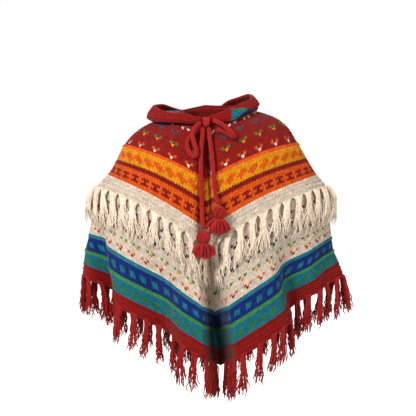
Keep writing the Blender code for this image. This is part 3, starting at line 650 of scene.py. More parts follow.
def tube_mesh(lines, radii, sides, flat=None):
    """Closed tubes on many lines at once: (strands, points, 3) and (strands,
    points). Gives points, faces and the strand of each face."""
    S, K, _ = lines.shape
    t = np.gradient(lines, axis=1)
    t /= np.linalg.norm(t, axis=2)[..., None] + 1e-12
    ref = np.where(np.abs(t[..., 1:2]) > 0.85, np.array([1.0, 0, 0]), np.array([0, 1.0, 0]))
    a = np.cross(t, ref)
    a /= np.linalg.norm(a, axis=2)[..., None] + 1e-12
    b = np.cross(t, a)
    ang = np.linspace(0, 2 * math.pi, sides, endpoint=False)
    ring = (lines[:, :, None, :]
            + radii[:, :, None, None] * (np.cos(ang)[None, None, :, None] * a[:, :, None, :]
                                         + np.sin(ang)[None, None, :, None] * b[:, :, None, :]))
    tips = np.stack([lines[:, 0] - t[:, 0] * radii[:, :1] * 0.7,
                     lines[:, -1] + t[:, -1] * radii[:, -1:] * 1.2], 1)
    block = K * sides + 2
    verts = np.concatenate([ring.reshape(S, K * sides, 3), tips], 1).reshape(-1, 3)
    k, s = np.meshgrid(np.arange(K - 1), np.arange(sides), indexing="ij")
    k, s = k.ravel(), s.ravel()
    s2 = (s + 1) % sides
    quads = np.stack([k * sides + s, (k + 1) * sides + s, (k + 1) * sides + s2, k * sides + s2], 1)
    s = np.arange(sides)
    s2 = (s + 1) % sides
    top = np.stack([np.full(sides, K * sides), s, s2], 1)
    end = np.stack([np.full(sides, K * sides + 1), (K - 1) * sides + s2, (K - 1) * sides + s], 1)
    faces, owner = [], []
    for i in range(S):
        base = i * block
        faces += (quads + base).tolist() + (top + base).tolist() + (end + base).tolist()
        owner += [i] * (len(quads) + 2 * sides)
    # the ring runs a -> b with a x b = t: check the side once and turn if needed
    f = faces[0]
    n = np.cross(verts[f[1]] - verts[f[0]], verts[f[2]] - verts[f[0]])
    c = verts[f].mean(axis=0) - lines[0, 0]
    if np.dot(n, c) < 0:
        faces = [x[::-1] for x in faces]
    return verts, faces, np.array(owner), block


def strands(name, lines, radii, sides, colours, material, nodes, shade=None):
    verts, faces, owner, block = tube_mesh(lines, radii, sides)
    colours = np.asarray(colours)[owner]
    relief = np.full(len(verts), 0.9) if shade is None else np.concatenate(
        [np.concatenate([np.repeat(s, sides), s[[0, -1]]]) for s in shade])
    return make_piece(name, verts, faces, colours, relief, None, material, nodes)


def tinted(base, n, amount=0.06):
    """Colours for n strands round one yarn's colour."""
    k = 1 + RNG.normal(0, amount, (n, 1))
    return np.clip(np.array(base)[None, :] * k * (1 + RNG.normal(0, amount * 0.25, (n, 3))), 0, 1)


# --------------------------------------------------------------- the camera
cam = bpy.data.cameras.new("view")
cam.sensor_width = 36.0
cam.lens = 104.5
cam.clip_end = 60.0
cam_object = bpy.data.objects.new("view", cam)
bpy.context.scene.collection.objects.link(cam_object)
cam_object.location = (0.0, -3.2, -0.207)
cam_object.rotation_euler = (math.pi / 2, 0.0, 0.0)
bpy.context.scene.camera = cam_object

WOOL_KNIT = wool("knitted_wool", ply=6.0)
WOOL_YARN = wool("loose_wool_yarn", fuzz=1.3)
WOOL_CORD = wool("crocheted_wool", fuzz=1.0)


# ------------------------------------------------------------ the drawstring
def cord_tube(name, points, radius, nodes):
    """A crocheted cord: four wales of slanting stitches round a line."""
    line = smooth_line(points, 0.0021)
    K, sides = len(line), 16
    s = lengths(line)
    t = np.gradient(line, axis=0)
    t /= np.linalg.norm(t, axis=1)[:, None]
    a = np.zeros_like(t)
    a[0] = np.cross(t[0], [0, 1.0, 0.1])
    for i in range(K):
        prev = a[i - 1] if i else a[0]
        v = prev - t[i] * np.dot(prev, t[i])
        a[i] = v / np.linalg.norm(v)
    b = np.cross(t, a)
    ang = np.linspace(0, 2 * math.pi, sides, endpoint=False)
    wale = (np.arange(sides) % 4) / 4.0
    lean = 1 - np.abs(2 * wale - 1)
    stitch = s[:, None] / 0.0062 + 0.5 * lean[None, :]
    bump = 0.55 * np.abs(np.sin(math.pi * wale))[None, :] + 0.45 * np.abs(np.sin(math.pi * stitch))
    r = radius * (0.86 + 0.24 * bump)
    taper = np.clip(np.minimum(s, s[-1] - s) / 0.004, 0.35, 1.0)[:, None]
    r = r * taper
    ring = line[:, None, :] + r[..., None] * (np.cos(ang)[None, :, None] * a[:, None, :]
                                              + np.sin(ang)[None, :, None] * b[:, None, :])
    verts = np.concatenate([ring.reshape(-1, 3), line[:1], line[-1:]])
    faces = []
    for k in range(K - 1):
        for j in range(sides):
            j2 = (j + 1) % sides
            faces.append([k * sides + j, (k + 1) * sides + j, (k + 1) * sides + j2, k * sides + j2])
    for j in range(sides):
        j2 = (j + 1) % sides
        faces.append([K * sides, j, j2])
        faces.append([K * sides + 1, (K - 1) * sides + j2, (K - 1) * sides + j])
    faces = orient(verts, faces)
    # painted shade: the wool material darkens the cord where this relief is low, between its stitches
    relief = np.concatenate([(0.25 + 0.75 * bump).ravel(), [0.6, 0.6]])
    colours = tinted(YARN["cord"], len(faces), 0.03)
    o = make_piece(name, verts, faces, colours, relief, None, WOOL_CORD, nodes)
    return o, line


def route(name):
    r = CORD_DIAMETER / 2
    return [(x, front_y(x, z, WALL / 2 + r + lift), z) for x, z, lift in CORD_ROUTES[name]]


def tassel(side):
    """A tied head of wound yarn and a skirt of thick looped strands."""
    x, z, gap = TASSELS[side]
    y = front_y(x, z, WALL / 2 + TASSEL_HEAD + gap)
    c = np.array([x, y, z])
    n, K = 46, 13
    lat = np.linspace(math.pi / 2, -math.pi / 2, K)
    lines = []
    for i in range(n):
        lon = 2 * math.pi * i / n + RNG.normal(0, 0.03)
        R = (TASSEL_HEAD - 0.0012) * (1 + RNG.normal(0, 0.025))
        tw = 0.5 * np.sin(lat) + RNG.normal(0, 0.05)
        rad = np.maximum(np.cos(lat), 0.08)
        lines.append(np.stack([R * rad * np.cos(lon + tw), R * rad * np.sin(lon + tw),
                               R * 0.98 * np.sin(lat)], 1) + c)
    head = strands("drawstring_head_" + side, np.array(lines), np.full((n, K), 0.0015), 5,
                   tinted(YARN["cord"], n, 0.09), WOOL_YARN, ["tassel_head_" + side])
    # the skirt: thick strands spread in layers from under the head
    n, K = 30, 12
    t = np.linspace(0, 1, K)
    lines, radii = [], []
    top = c + np.array([0, 0, -TASSEL_HEAD + 0.002])
    for i in range(n):
        a = -1 + 2 * (i + 0.5) / n
        layer = RNG.uniform(-1, 1)
        reach = 0.027 * (abs(a) ** 0.8) * np.sign(a) * (1 + RNG.normal(0, 0.08))
        drop = 0.036 * math.sqrt(max(1 - 0.55 * a * a, 0.1)) * (1 + RNG.normal(0, 0.07))
        px = reach * np.sin(t * math.pi / 2) ** 0.9
        pz = -drop * (0.15 * t + 0.85 * t ** 1.7)
        py = -0.004 + layer * 0.010 * np.sin(np.pi * np.minimum(t * 0.9 + 0.05, 1)) - 0.002 * np.sin(t * 3)
        wave = 0.0012 * np.sin(t * 7 + RNG.uniform(0, 6)) * t
        lines.append(np.stack([px + wave, py + np.zeros(K), pz], 1) + top)
        radii.append(0.0029 * (0.80 + 0.30 * np.sin(np.pi * t)) * np.ones(K))
    skirt = strands("drawstring_skirt_" + side, np.array(lines), np.array(radii), 6,
                    tinted(YARN["cord"], n, 0.10), WOOL_YARN, ["tassel_skirt_" + side])
    return head, skirt


for key in ("cord_loop_left", "cord_loop_right", "cord_end_left", "cord_end_right"):
    cord_tube("draw" + key, route(key), CORD_DIAMETER / 2, [key])

kc = np.array(KNOT_CENTRE)
knot_lines = []
for off, tilt, size in ((0.0000, 0.25, 1.0), (-0.0040, -0.25, 0.88), (0.0041, 0.55, 0.86)):
    ang = np.linspace(0, 2 * math.pi, 22)
    knot_lines.append(np.stack([kc[0] + off + 0.0035 * tilt * np.cos(ang),
                                kc[1] + 0.0042 * size * np.sin(ang),
                                kc[2] + 0.0096 * size * np.cos(ang)], 1))
KNOT = strands("drawstring_knot", np.array(knot_lines),
               np.full((3, 22), 0.0045) * (1 + 0.08 * np.sin(np.arange(22) * 2.4)), 10,
               tinted(YARN["cord"], 3, 0.03), WOOL_CORD, ["knot"])
TASSEL = {side: tassel(side) for side in ("left", "right")}


# ------------------------------------------------------------ knitted panels
def merge(verts, faces):
    """Joins points that lie on each other."""
    key = np.round(verts / 2e-5).astype(np.int64)
    _, first, inverse = np.unique(key, axis=0, return_index=True, return_inverse=True)
    inverse = inverse.ravel()
    return verts[first], inverse[faces], first


def boundary(faces):
    """The longest loop of edges that only one face has."""
    count = {}
    for f in faces:
        for i in range(len(f)):
            a, b = f[i], f[(i + 1) % len(f)]
            k = (a, b) if a < b else (b, a)
            count[k] = count.get(k, 0) + 1
    after = {}
    for f in faces:
        for i in range(len(f)):
            a, b = f[i], f[(i + 1) % len(f)]
            k = (a, b) if a < b else (b, a)
            if count[k] == 1:
                after.setdefault(a, []).append(b)
    best = []
    seen = set()
    for start in list(after):
        if start in seen:
            continue
        loop, at = [start], start
        seen.add(start)
        while True:
            nxt = [x for x in after.get(at, []) if x not in seen]
            if not nxt:
                break
            at = nxt[0]
            seen.add(at)
            loop.append(at)
        if len(loop) > len(best):
            best = loop
    return best


def strip(outer, inner, verts):
    """Triangles between two loops of points that run the same way."""
    P, Q = verts[outer], verts[inner]
    closed = np.vstack([Q, Q[:1]])
    s = lengths(closed)
    mid = 0.5 * (closed[1:] + closed[:-1])
    start = int(np.argmin(np.linalg.norm(P - Q[0], axis=1)))
    outer = outer[start:] + outer[:start]
    P = verts[outer]
    seg = closed[1:] - closed[:-1]
    t = []
    for p in P:
        w = np.clip(((p - closed[:-1]) * seg).sum(1) / ((seg ** 2).sum(1) + 1e-15), 0, 1)
        near = closed[:-1] + seg * w[:, None]
        k = int(np.argmin(np.linalg.norm(near - p, axis=1)))
        t.append((s[k] + w[k] * (s[k + 1] - s[k])) / s[-1])
    t = np.array(t)
    turn = t[len(t) // 4] > 0.5
    if turn:
        inner = [inner[0]] + inner[1:][::-1]
        t = 1 - t
    t[0] = 0.0
    if t[1] > 0.9:
        t[1] = 0.0
    t = np.maximum.accumulate(np.where(t > np.concatenate([[0], t[:-1]]) + 0.5, 0.0, t))
    Q = verts[inner]
    closed = np.vstack([Q, Q[:1]])
    ti = lengths(closed)
    ti = ti / ti[-1]
    t = np.append(t, 1.0)
    a, b = list(outer) + [outer[0]], list(inner) + [inner[0]]
    i = j = 0
    out = []
    while i < len(a) - 1 or j < len(b) - 1:
        if j == len(b) - 1 or (i < len(a) - 1 and t[i + 1] <= ti[j + 1]):
            out.append([a[i], b[j], a[i + 1]])
            i += 1
        else:
            out.append([a[i], b[j], b[j + 1]])
            j += 1
    return out


RELIEF = {
    # kind: heights in mm at the row's upper edge and at its middle, for the four
    # columns of a stitch, and how far the columns reach down, in rows
    "knit": ((-0.55, 0.20, -0.40, 0.20), (-0.80, 0.95, -0.40, 0.95), (0.0, 0.30, 0.6, 0.30)),
    "purl": ((0.10, 0.25, 0.10, 0.25), (3.9, 2.9, 1.5, 2.9), (0.0, 0.0, 0.0, 0.0)),
    "garter": ((0.5, -0.2, -0.4, -0.2), (2.3, 1.2, -0.5, 1.2), (0.20, 0.0, -0.20, 0.0)),
}


FOLD_DEEP = 0.055         # folds this deep get the full painted shade
FOLD_PAINTED_SHADE = 0.70          # and this is how much darker the painted shade makes the wool in them at the hem


def fold_depth(line, front):
    """How far each point of a row lies behind a thread pulled tight across its folds."""
    x, y = line[:, 0], line[:, 1] * -front
    tight = float(y[(np.abs(x - x[np.argmin(np.abs(x))]) < 0.12)].min())
    order = np.argsort(x)
    pts = list(zip(x[order].tolist(), y[order].tolist()))
    centre = 0 if abs(x[order[0]]) < abs(x[order[-1]]) else -1
    pts[centre] = (pts[centre][0], tight)
    hull = []
    for q in pts:
        while len(hull) > 1 and ((hull[-1][0] - hull[-2][0]) * (q[1] - hull[-2][1])
                                 - (hull[-1][1] - hull[-2][1]) * (q[0] - hull[-2][0])) <= 0:
            hull.pop()
        hull.append(q)
    hx, hy = np.array(hull).T
    return np.maximum(y - np.interp(x, hx, hy), 0)


def knit_panel(name, face, tier, r0, r1, base, shear, nodes):
    """A panel of real stitches on its outer side, with a plain inner side."""
    V, F, C, R, U = [], [], [], [], []
    count = 0
    pattern_shift = -0.6 if face == "B" and tier == "yoke" else 0.0
    for side in "LR":
        q = face + side
        K = int(round(2 * (r1 - r0))) + 1
        rk = r0 + 0.5 * np.arange(K)
        Lk = row_length(q, rk) - 0.0001
        shift = shear * rk
        j0 = int(math.floor(-shift.max() / STITCH)) * 4
        j1 = int(math.ceil(((Lk - shift) / STITCH).max())) * 4
        j = np.arange(j0, j1 + 1)
        d = j[None, :] * STITCH / 4 + shift[:, None]
        clamped = (d <= 0) | (d >= Lk[:, None])
        d = np.clip(d, 0, Lk[:, None])
        phase = j % 4
        stitch = j // 4
        rows_of = np.minimum(np.floor(rk + 1e-6), r1 - 1).astype(int)
        h = np.zeros(d.shape)
        dv = np.zeros(d.shape)
        for k in range(K):
            kind = band_of(tier, rows_of[k])[4]
            edge, middle, reach = (np.array(x) for x in RELIEF[kind])
            if k % 2 == 0:
                above = band_of(tier, max(rows_of[k] - 1, r0))[4] if k else kind
                e2, _, r2 = (np.array(x) for x in RELIEF[above])
                h[k] = np.maximum(edge, e2)[phase] if "purl" not in (kind, above) else 0.6
                if above == "purl":
                    h[k] = 1.2
                dv[k] = (0.5 * (reach + r2) * (1.0 if kind == above else 0.5))[phase]
                if above == "purl":
                    dv[k] = dv[k] + 0.30
                if kind == "purl":
                    dv[k] = -0.12
            else:
                flip = 2 if (kind == "garter" and (rows_of[k] // 2) % 2) else 0
                h[k] = middle[(phase + flip) % 4]
                if kind == "garter" and rows_of[k] % 2 == 0:
                    h[k] = np.array([-0.5, -0.4, 0.5, -0.4])[(phase + flip) % 4]
                dv[k] = (reach if kind == "knit" else np.roll(reach, flip))[phase]
                if kind == "purl":
                    dv[k] = 0.10
        rough = RNG.normal(0, 0.20, (K, len(j) // 4 + 2))[:, stitch - j0 // 4]
        h = np.where(clamped, -0.2, h + rough)
        dv = dv + RNG.normal(0, 0.045, dv.shape)
        d = np.where(clamped, d, np.clip(d + RNG.normal(0, 0.00045, d.shape), 0.0001, Lk[:, None]))
        dv[clamped] = 0
        v = np.clip(rk[:, None] + dv, r0, r1)
        v[0], v[-1] = r0, r1
        share = 1 - d / row_length(q, v)
        P, N = surface(q, share, v, base + OUT + h * 0.001)
        # the wool material paints shade where this relief is low, between the stitches
        relief = np.clip((h + 0.9) / 2.2, 0, 1)
        for k in range(K):
            if band_of(tier, rows_of[k])[4] == "garter":
                relief[k] = np.clip((h[k] + 0.7) / 2.9, 0, 1)
            if band_of(tier, rows_of[k])[4] == "purl":
                relief[k] = np.clip((h[k] - 1.3) / 2.4, 0.05, 1) if k % 2 else 0.25
        n = len(j)
        idx = count + np.arange(K * n).reshape(K, n)
        a = idx[:-1, :-1].ravel()
        quads = np.stack([a, a + n, a + n + 1, a + 1], 1)
        low = (j[None, :] * STITCH / 4 + shift[:, None]) <= 0
        high = (j[None, :] * STITCH / 4 + shift[:, None]) >= Lk[:, None]
        dead = ((low[:-1, :-1] & low[1:, :-1] & low[1:, 1:] & low[:-1, 1:])
                | (high[:-1, :-1] & high[1:, :-1] & high[1:, 1:] & high[:-1, 1:])).ravel()
        table = {}
        for row in range(r0, r1):
            for st in range(j0 // 4, j1 // 4):
                yarn = stitch_yarn(tier, side, int(round(row + pattern_shift)), st, shear)
                table[row, st] = np.array(YARN[yarn]) * (1 + RNG.normal(0, 0.075))
        colour = np.array([table[min(r0 + k // 2, r1 - 1), int(stitch[c])]
                           for k in range(K - 1) for c in range(n - 1)])
        # painted shade: near the centre line the wool is darkened by how deep it lies in a fold, most at the hem
        deep = np.array([fold_depth(P[k], -1 if face == "F" else 1) for k in range(K)])
        painted_fold_shade = np.interp(rk, (0, 44, 67, 73, 90), (0.25, 0.10, 0.15, FOLD_PAINTED_SHADE, FOLD_PAINTED_SHADE))[:-1, None]
        painted_fold_shade = painted_fold_shade * np.clip((0.19 - d[:-1, :-1]) / 0.05, 0, 1)
        colour = colour * (1 - painted_fold_shade * np.clip((deep[:-1, :-1] - 0.008) / FOLD_DEEP, 0, 1)).reshape(-1, 1)
        u0 = j / 4.0
        uv = np.stack([np.broadcast_to(u0[None, :], v.shape), v], -1).reshape(-1, 2)
        if side == "R":
            quads = quads[:, ::-1]
        keep = ~dead
        V.append(P.reshape(-1, 3))
        F.append(quads[keep])
        C.append(colour[keep])
        R.append(relief.ravel())
        U.append(uv)
        count += K * n
    V, F, C, R, U = (np.concatenate(x) for x in (V, F, C, R, U))
    UV = U[F]
    verts, faces, first = merge(V, F)
    relief = R[first]
    out_f, out_c, out_uv = [], [], []
    good = ((faces[:, 0] != faces[:, 1]) & (faces[:, 1] != faces[:, 2])
            & (faces[:, 2] != faces[:, 3]) & (faces[:, 3] != faces[:, 0]))
    for i in range(len(faces)):
        f = faces[i].tolist()
        if good[i]:
            out_f.append(f)
            out_c.append(C[i])
            out_uv.extend(UV[i])
            continue
        g, w = [], []
        for k in range(4):
            if f[k] != f[k - 1]:
                g.append(f[k])
                w.append(UV[i][k])
        if len(set(g)) >= 3:
            out_f.append(g)
            out_c.append(C[i])
            out_uv.extend(w)
    loop = boundary(out_f)
    # inner side
    lines = np.linspace(r0, r1, int((r1 - r0) / 2) + 1)
    n = 40
    grid = []
    for r in lines:
        g = 0.0001 / row_length(face + "L", r)
        left, _ = surface(face + "L", np.linspace(g, 1, n), r, base - WALL / 2)
        g = 0.0001 / row_length(face + "R", r)
        right, _ = surface(face + "R", np.linspace(1, g, n), r, base - WALL / 2)
        grid.append(np.concatenate([left, right[1:]]))
    grid = np.array(grid)
    m, w = grid.shape[:2]
    start = len(verts)
    verts = np.concatenate([verts, grid.reshape(-1, 3)])
    relief = np.concatenate([relief, np.full(m * w, 0.55)])
    ids = start + np.arange(m * w).reshape(m, w)
    for i in range(m - 1):
        yarn = YARN[band_of(tier, int(lines[i]))[3]]
        for k in range(w - 1):
            out_f.append([ids[i, k], ids[i, k + 1], ids[i + 1, k + 1], ids[i + 1, k]])
            out_c.append(np.array(yarn) * (1 + RNG.normal(0, 0.03)))
            out_uv.extend([(k, lines[i]), (k + 1, lines[i]), (k + 1, lines[i + 1]), (k, lines[i + 1])])
    inner = (ids[0, :].tolist() + ids[1:, -1].tolist() + ids[-1, :-1][::-1].tolist()
             + ids[1:-1, 0][::-1].tolist())
    for f in strip(loop, inner, verts):
        out_f.append([int(x) for x in f])
        z_row = min(range(m), key=lambda i: abs(verts[f[0]][2] - verts[ids[i, 0]][2]))
        out_c.append(np.array(YARN[band_of(tier, int(lines[z_row]))[3]]))
        out_uv.extend([(0, 0), (0.2, 0), (0, 0.2)])
    o = make_piece(name, verts, out_f, out_c, relief, out_uv, WOOL_KNIT, nodes)
    fix_normals(o)
    return o


def fix_normals(o):
    import bmesh
    bm = bmesh.new()
    bm.from_mesh(o.data)
    bmesh.ops.recalc_face_normals(bm, faces=bm.faces)
    if bm.calc_volume(signed=True) < 0:
        bmesh.ops.reverse_faces(bm, faces=bm.faces)
    bm.to_mesh(o.data)
    bm.free()


def flat_size(face, r0, r1):
    """Width at its widest row, length down its centre, and area of a panel."""
    rows = np.arange(r0, r1 + 1)
    wide = np.array([row_length(face + "L", r) + row_length(face + "R", r) for r in rows])
    line = CLOTH[face + "L"].grid[r0:r1 + 1]
    step = np.linalg.norm(np.diff(line, axis=0), axis=2).mean(axis=1)
    area = float((0.5 * (wide[1:] + wide[:-1]) * step).sum())
    length = float(np.linalg.norm(np.diff(line[:, -1], axis=0), axis=1).sum())
    return float(wide.max()), max(length, area / wide.max() * 1.001), area


for face, label in (("F", "front"), ("B", "back")):
    knit_panel("knit_yoke_" + label, face, "yoke", 0, 44, 0.0,
                                         YOKE_SHEAR, ["yoke_" + label])
    knit_panel("knit_skirt_" + label, face, "skirt", 38, 90, -TIER_STEP,
                                          0.0, ["skirt_" + label])


# ------------------------------------------------------------------ the hood
HOOD_BANDS = (
    # rows counted in from the joint with the rim, yarn, kind
    (0, 1, "navy", "knit"), (1, 8, "teal", "knit"), (8, 9, "green", "purl"), (9, 15, "navy", "knit"),
    (15, 16, "teal", "purl"), (16, 22, "teal", "knit"), (22, 23, "orange", "purl"),
    (23, 99, "red", "knit"),
)
HOOD_FIGURES = ("..XXX...XX..", ".XXXXX.X..X.", "..X.X...XX..")      # a flower and a ring


def rim_yarn(p):
    """The rim is red, but where it rolls over the teal of the hood comes up to it: on
    the viewer's right outside, and inside on the left."""
    out = p[0] - 0.061
    line = 0.0500 + 0.05 * out
    if 0 < out < 0.058 and p[1] < 0.06 and p[2] < line - (0.004 if out > 0.046 else 0):
        if out > 0.042 and p[2] > line - 0.009:
            return "navy"
        u, v = int(out / 0.0034), int((line - p[2]) / 0.0032)
        if v < 3 and HOOD_FIGURES[v][u % 12] == "X":
            return "leaf" if u < 7 else "green"
        return "teal"
    if -0.106 < p[0] < -0.071 and p[1] > 0.0 and p[2] < 0.0575:
        return "green" if -0.094 < p[0] < -0.082 else "teal"
    return "crimson"


def hood_yarn(row, stitch):
    for a, b, yarn, kind in HOOD_BANDS:
        if a <= row < b:
            break
    for first, colour in ((1, "leaf"), (4, "green"), (18, "leaf")):
        if first <= row < first + 3 and HOOD_FIGURES[row - first][(stitch + first) % 12] == "X":
            yarn = colour
    if 11 <= row < 13 and BLOB[row - 11][stitch % 4] == "X":
        yarn = "teal"
    if row in (26, 34) and stitch % 6 in (0, 2):
        yarn = "white"
    if row in (27, 35) and stitch % 6 == 1:
        yarn = "orange"
    return yarn, kind


def hood_profiles(count):
    ways = 0.014 + 0.972 * np.arange(count + 1) / count
    return ways, [hood_line(w) for w in ways]


def build_hood():
    around = 96
    cols = around * 4
    ways, lines = hood_profiles(96)
    # a fine set of profiles, blended from the coarse ones
    L = np.array([l for l, _ in lines])
    J = np.array([j for _, j in lines])
    w_fine = np.linspace(ways[0], ways[-1], cols + 1)
    at = (w_fine - ways[0]) / (ways[-1] - ways[0]) * around
    i = np.minimum(at.astype(int), around - 1)
    f = (at - i)
    Lf = L[i] * (1 - f)[:, None, None] + L[i + 1] * f[:, None, None]
    Jf = J[i] * (1 - f) + J[i + 1] * f
    n_along = np.gradient(Lf, axis=1)
    n_round = np.gradient(Lf, axis=0)
    N = np.cross(n_along, n_round)
    N /= np.linalg.norm(N, axis=2)[..., None] + 1e-12
    # the public side is the convex one: away from the middle of each profile
    centre = Lf.mean(axis=1, keepdims=True)
    if np.mean(((Lf - centre) * N).sum(axis=2)[int(cols * 0.3):int(cols * 0.7)]) < 0:
        N = -N
    S = np.array([lengths(l) for l in Lf])
    cut = Jf - np.minimum(0.007, 0.55 * Jf) - 0.001
    pitch = 0.0070
    deepest = int(math.ceil(cut.max() / pitch))
    K = 2 * deepest + 1
    phase = np.arange(cols + 1) % 4
    stitch = np.arange(cols + 1) // 4
    P = np.zeros((K, cols + 1, 3))
    relief = np.zeros((K, cols + 1))
    dead_v = np.zeros((K, cols + 1), bool)
    size = np.abs(np.gradient(Lf[:, 50], axis=0)).sum(axis=1)
    for k in range(K):
        row = k // 2
        kind = hood_yarn(row, 0)[1]
        edge, middle, reach = (np.array(x) for x in RELIEF[kind])
        h = (edge if k % 2 == 0 else middle)[phase] + RNG.normal(0, 0.1, cols + 1)
        s = cut - (k * 0.5 + reach[phase] * (1 if k else 0)) * pitch
        dead_v[k] = s <= 0
        h = np.where(s <= 0, -0.5, h)
        s = np.maximum(s, 0.0)
        for c in range(cols + 1):
            t = np.interp(s[c], S[c], np.arange(101))
            a = min(int(t), 99)
            w = t - a
            p = Lf[c, a] * (1 - w) + Lf[c, a + 1] * w
            n = N[c, a] * (1 - w) + N[c, a + 1] * w
            P[k, c] = p + n / (np.linalg.norm(n) + 1e-9) * (OUT + h[c] * 0.001)
            relief[k, c] = np.clip((h[c] + 0.9) / 2.2, 0, 1)
    n = cols + 1
    idx = np.arange(K * n).reshape(K, n)
    quads, colours, uvs = [], [], []
    for k in range(K - 1):
        for c in range(cols):
            if dead_v[k, c] and dead_v[k, c + 1] and dead_v[k + 1, c] and dead_v[k + 1, c + 1]:
                continue
            quads.append([idx[k, c], idx[k, c + 1], idx[k + 1, c + 1], idx[k + 1, c]])
            colours.append(np.array(YARN[hood_yarn(k // 2, stitch[c])[0]]))
            uvs.append([(c / 4, k / 2), (c / 4 + 0.25, k / 2), (c / 4 + 0.25, k / 2 + 0.5), (c / 4, k / 2 + 0.5)])
    colours = np.array(colours) * (1 + RNG.normal(0, 0.04, (len(colours), 1)))
    # at the neck the rows end on one line
    V = P.reshape(-1, 3)
    verts, faces, first = merge(V, np.array(quads))
    rel = relief.ravel()[first]
    out_f, out_c, out_uv = [], [], []
    for q, c, u in zip(faces.tolist(), colours, uvs):
        g, w = [], []
        for k in range(4):
            if q[k] != q[k - 1]:
                g.append(q[k])
                w.append(u[k])
        if len(set(g)) >= 3:
            out_f.append(g)
            out_c.append(c)
            out_uv.extend(w)
    loop = boundary(out_f)
    # inner side
    m, w = 26, 97
    step = np.linspace(0, 1, m)
    grid = np.zeros((m, w, 3))
    for b in range(w):
        c = b * 4
        for a in range(m):
            t = np.interp(cut[c] * (1 - step[a]), S[c], np.arange(101))
            i0 = min(int(t), 99)
            x = t - i0
            p = Lf[c, i0] * (1 - x) + Lf[c, i0 + 1] * x
            nn = N[c, i0] * (1 - x) + N[c, i0 + 1] * x
            grid[a, b] = p - nn / (np.linalg.norm(nn) + 1e-9) * WALL / 2
    start = len(verts)
    verts = np.concatenate([verts, grid.reshape(-1, 3)])
    rel = np.concatenate([rel, np.full(m * w, 0.5)])
    ids = start + np.arange(m * w).reshape(m, w)
    for a in range(m - 1):
        for b in range(w - 1):
            s_in = cut[b * 4] * step[a]
            yarn = hood_yarn(int(s_in / pitch), b)[0]
            out_f.append([ids[a, b], ids[a, b + 1], ids[a + 1, b + 1], ids[a + 1, b]])
            # painted shade: the hood's inside is coloured a tenth darker than its yarn
            out_c.append(np.array(YARN[yarn]) * (0.9 + RNG.normal(0, 0.05)))
            out_uv.extend([(b, a), (b + 1, a), (b + 1, a + 1), (b, a + 1)])
    inner = (ids[0, :].tolist() + ids[1:, -1].tolist() + ids[-1, :-1][::-1].tolist()
             + ids[1:-1, 0][::-1].tolist())
    for f in strip(loop, inner, verts):
        out_f.append([int(x) for x in f])
        out_c.append(np.array(YARN["red"]))
        out_uv.extend([(0, 0), (0.2, 0), (0, 0.2)])
    hood = make_piece("knit_hood", verts, out_f, out_c, rel, out_uv, WOOL_KNIT, ["hood"])
    fix_normals(hood)

    # the rim: a garter band, ridges on both sides
    start_s = cut + 0.0016
    total = S[:, -1]
    half = RIM_WALL / 2 + 0.0004
    ridges = 5
    M = ridges * 4
    profile = []
    for k in range(M + 1):                       # outer side, from the joint to the edge
        profile.append((k / M, 1.0, k))
    for k in range(1, 4):                        # round the edge
        profile.append((1.0, math.cos(math.pi * k / 4), -k))
    for k in range(M, -1, -1):
        profile.append((k / M, -1.0, k))
    V, rel = [], []
    step_c = 1
    for c in range(0, cols + 1, step_c):
        for x, sgn, k in profile:
            s = start_s[c] + (total[c] - 0.0025 - start_s[c]) * x
            t = np.interp(s, S[c], np.arange(101))
            i0 = min(int(t), 99)
            u = t - i0
            p = Lf[c, i0] * (1 - u) + Lf[c, i0 + 1] * u
            nn = N[c, i0] * (1 - u) + N[c, i0 + 1] * u
            nn /= np.linalg.norm(nn) + 1e-9
            along = Lf[c, min(i0 + 1, 100)] - Lf[c, i0]
            along /= np.linalg.norm(along) + 1e-9
            if k >= 0:
                ridge = math.sin(math.pi * (k % 4) / 4) ** 1.0
                alt = 1 if (k // 4) % 2 else -1
                bead = 0.5 + 0.5 * math.cos(math.pi / 2 * c * 1.0 + (0 if alt > 0 else math.pi))
                h = (-0.0009 + ridge * (0.0004 + 0.0030 * bead) + 0.0004 * math.sin(c * 1.9 + k * 2.3)
                     + RNG.normal(0, 0.00022))
                V.append(p + nn * sgn * (half + h))
                rel.append(min(max(0.12 + ridge * (0.10 + 0.80 * bead) + RNG.normal(0, 0.10), 0), 1))
            else:
                turn = math.sin(math.pi * (-k) / 4)
                V.append(p + nn * sgn * half + along * turn * half)
                rel.append(0.75)
    V = np.array(V)
    m = len(profile)
    nc = len(range(0, cols + 1, step_c))
    faces, colours = [], []
    for c in range(nc - 1):
        for k in range(m):
            k2 = (k + 1) % m
            faces.append([c * m + k, c * m + k2, (c + 1) * m + k2, (c + 1) * m + k])
            middle = (V[c * m + k] + V[(c + 1) * m + k2]) / 2
            # painted shade and painted light: the rim's colour is darker in the hollows between its garter ridges
            # and lighter on their crests
            level = (rel[c * m + k] + rel[(c + 1) * m + k2]) / 2
            colours.append(np.array(YARN[rim_yarn(middle)]) * (0.62 + 0.62 * level + RNG.normal(0, 0.05)))
    faces.append([k for k in range(m)][::-1])
    faces.append([(nc - 1) * m + k for k in range(m)])
    colours += [np.array(YARN["crimson"])] * 2
    rim = make_piece("knit_hood_rim", V, faces, colours, rel, None, WOOL_YARN, ["hood_rim"])
    fix_normals(rim)
    area = float((np.linalg.norm(np.diff(Lf[:, 60], axis=0), axis=1) * cut[1:]).sum())
    return hood, rim, float(np.linalg.norm(np.diff(Lf[:, 46], axis=0), axis=1).sum()), float(cut.max())


HOOD_PIECE, RIM_PIECE, HOOD_ROUND, HOOD_DEEP = build_hood()


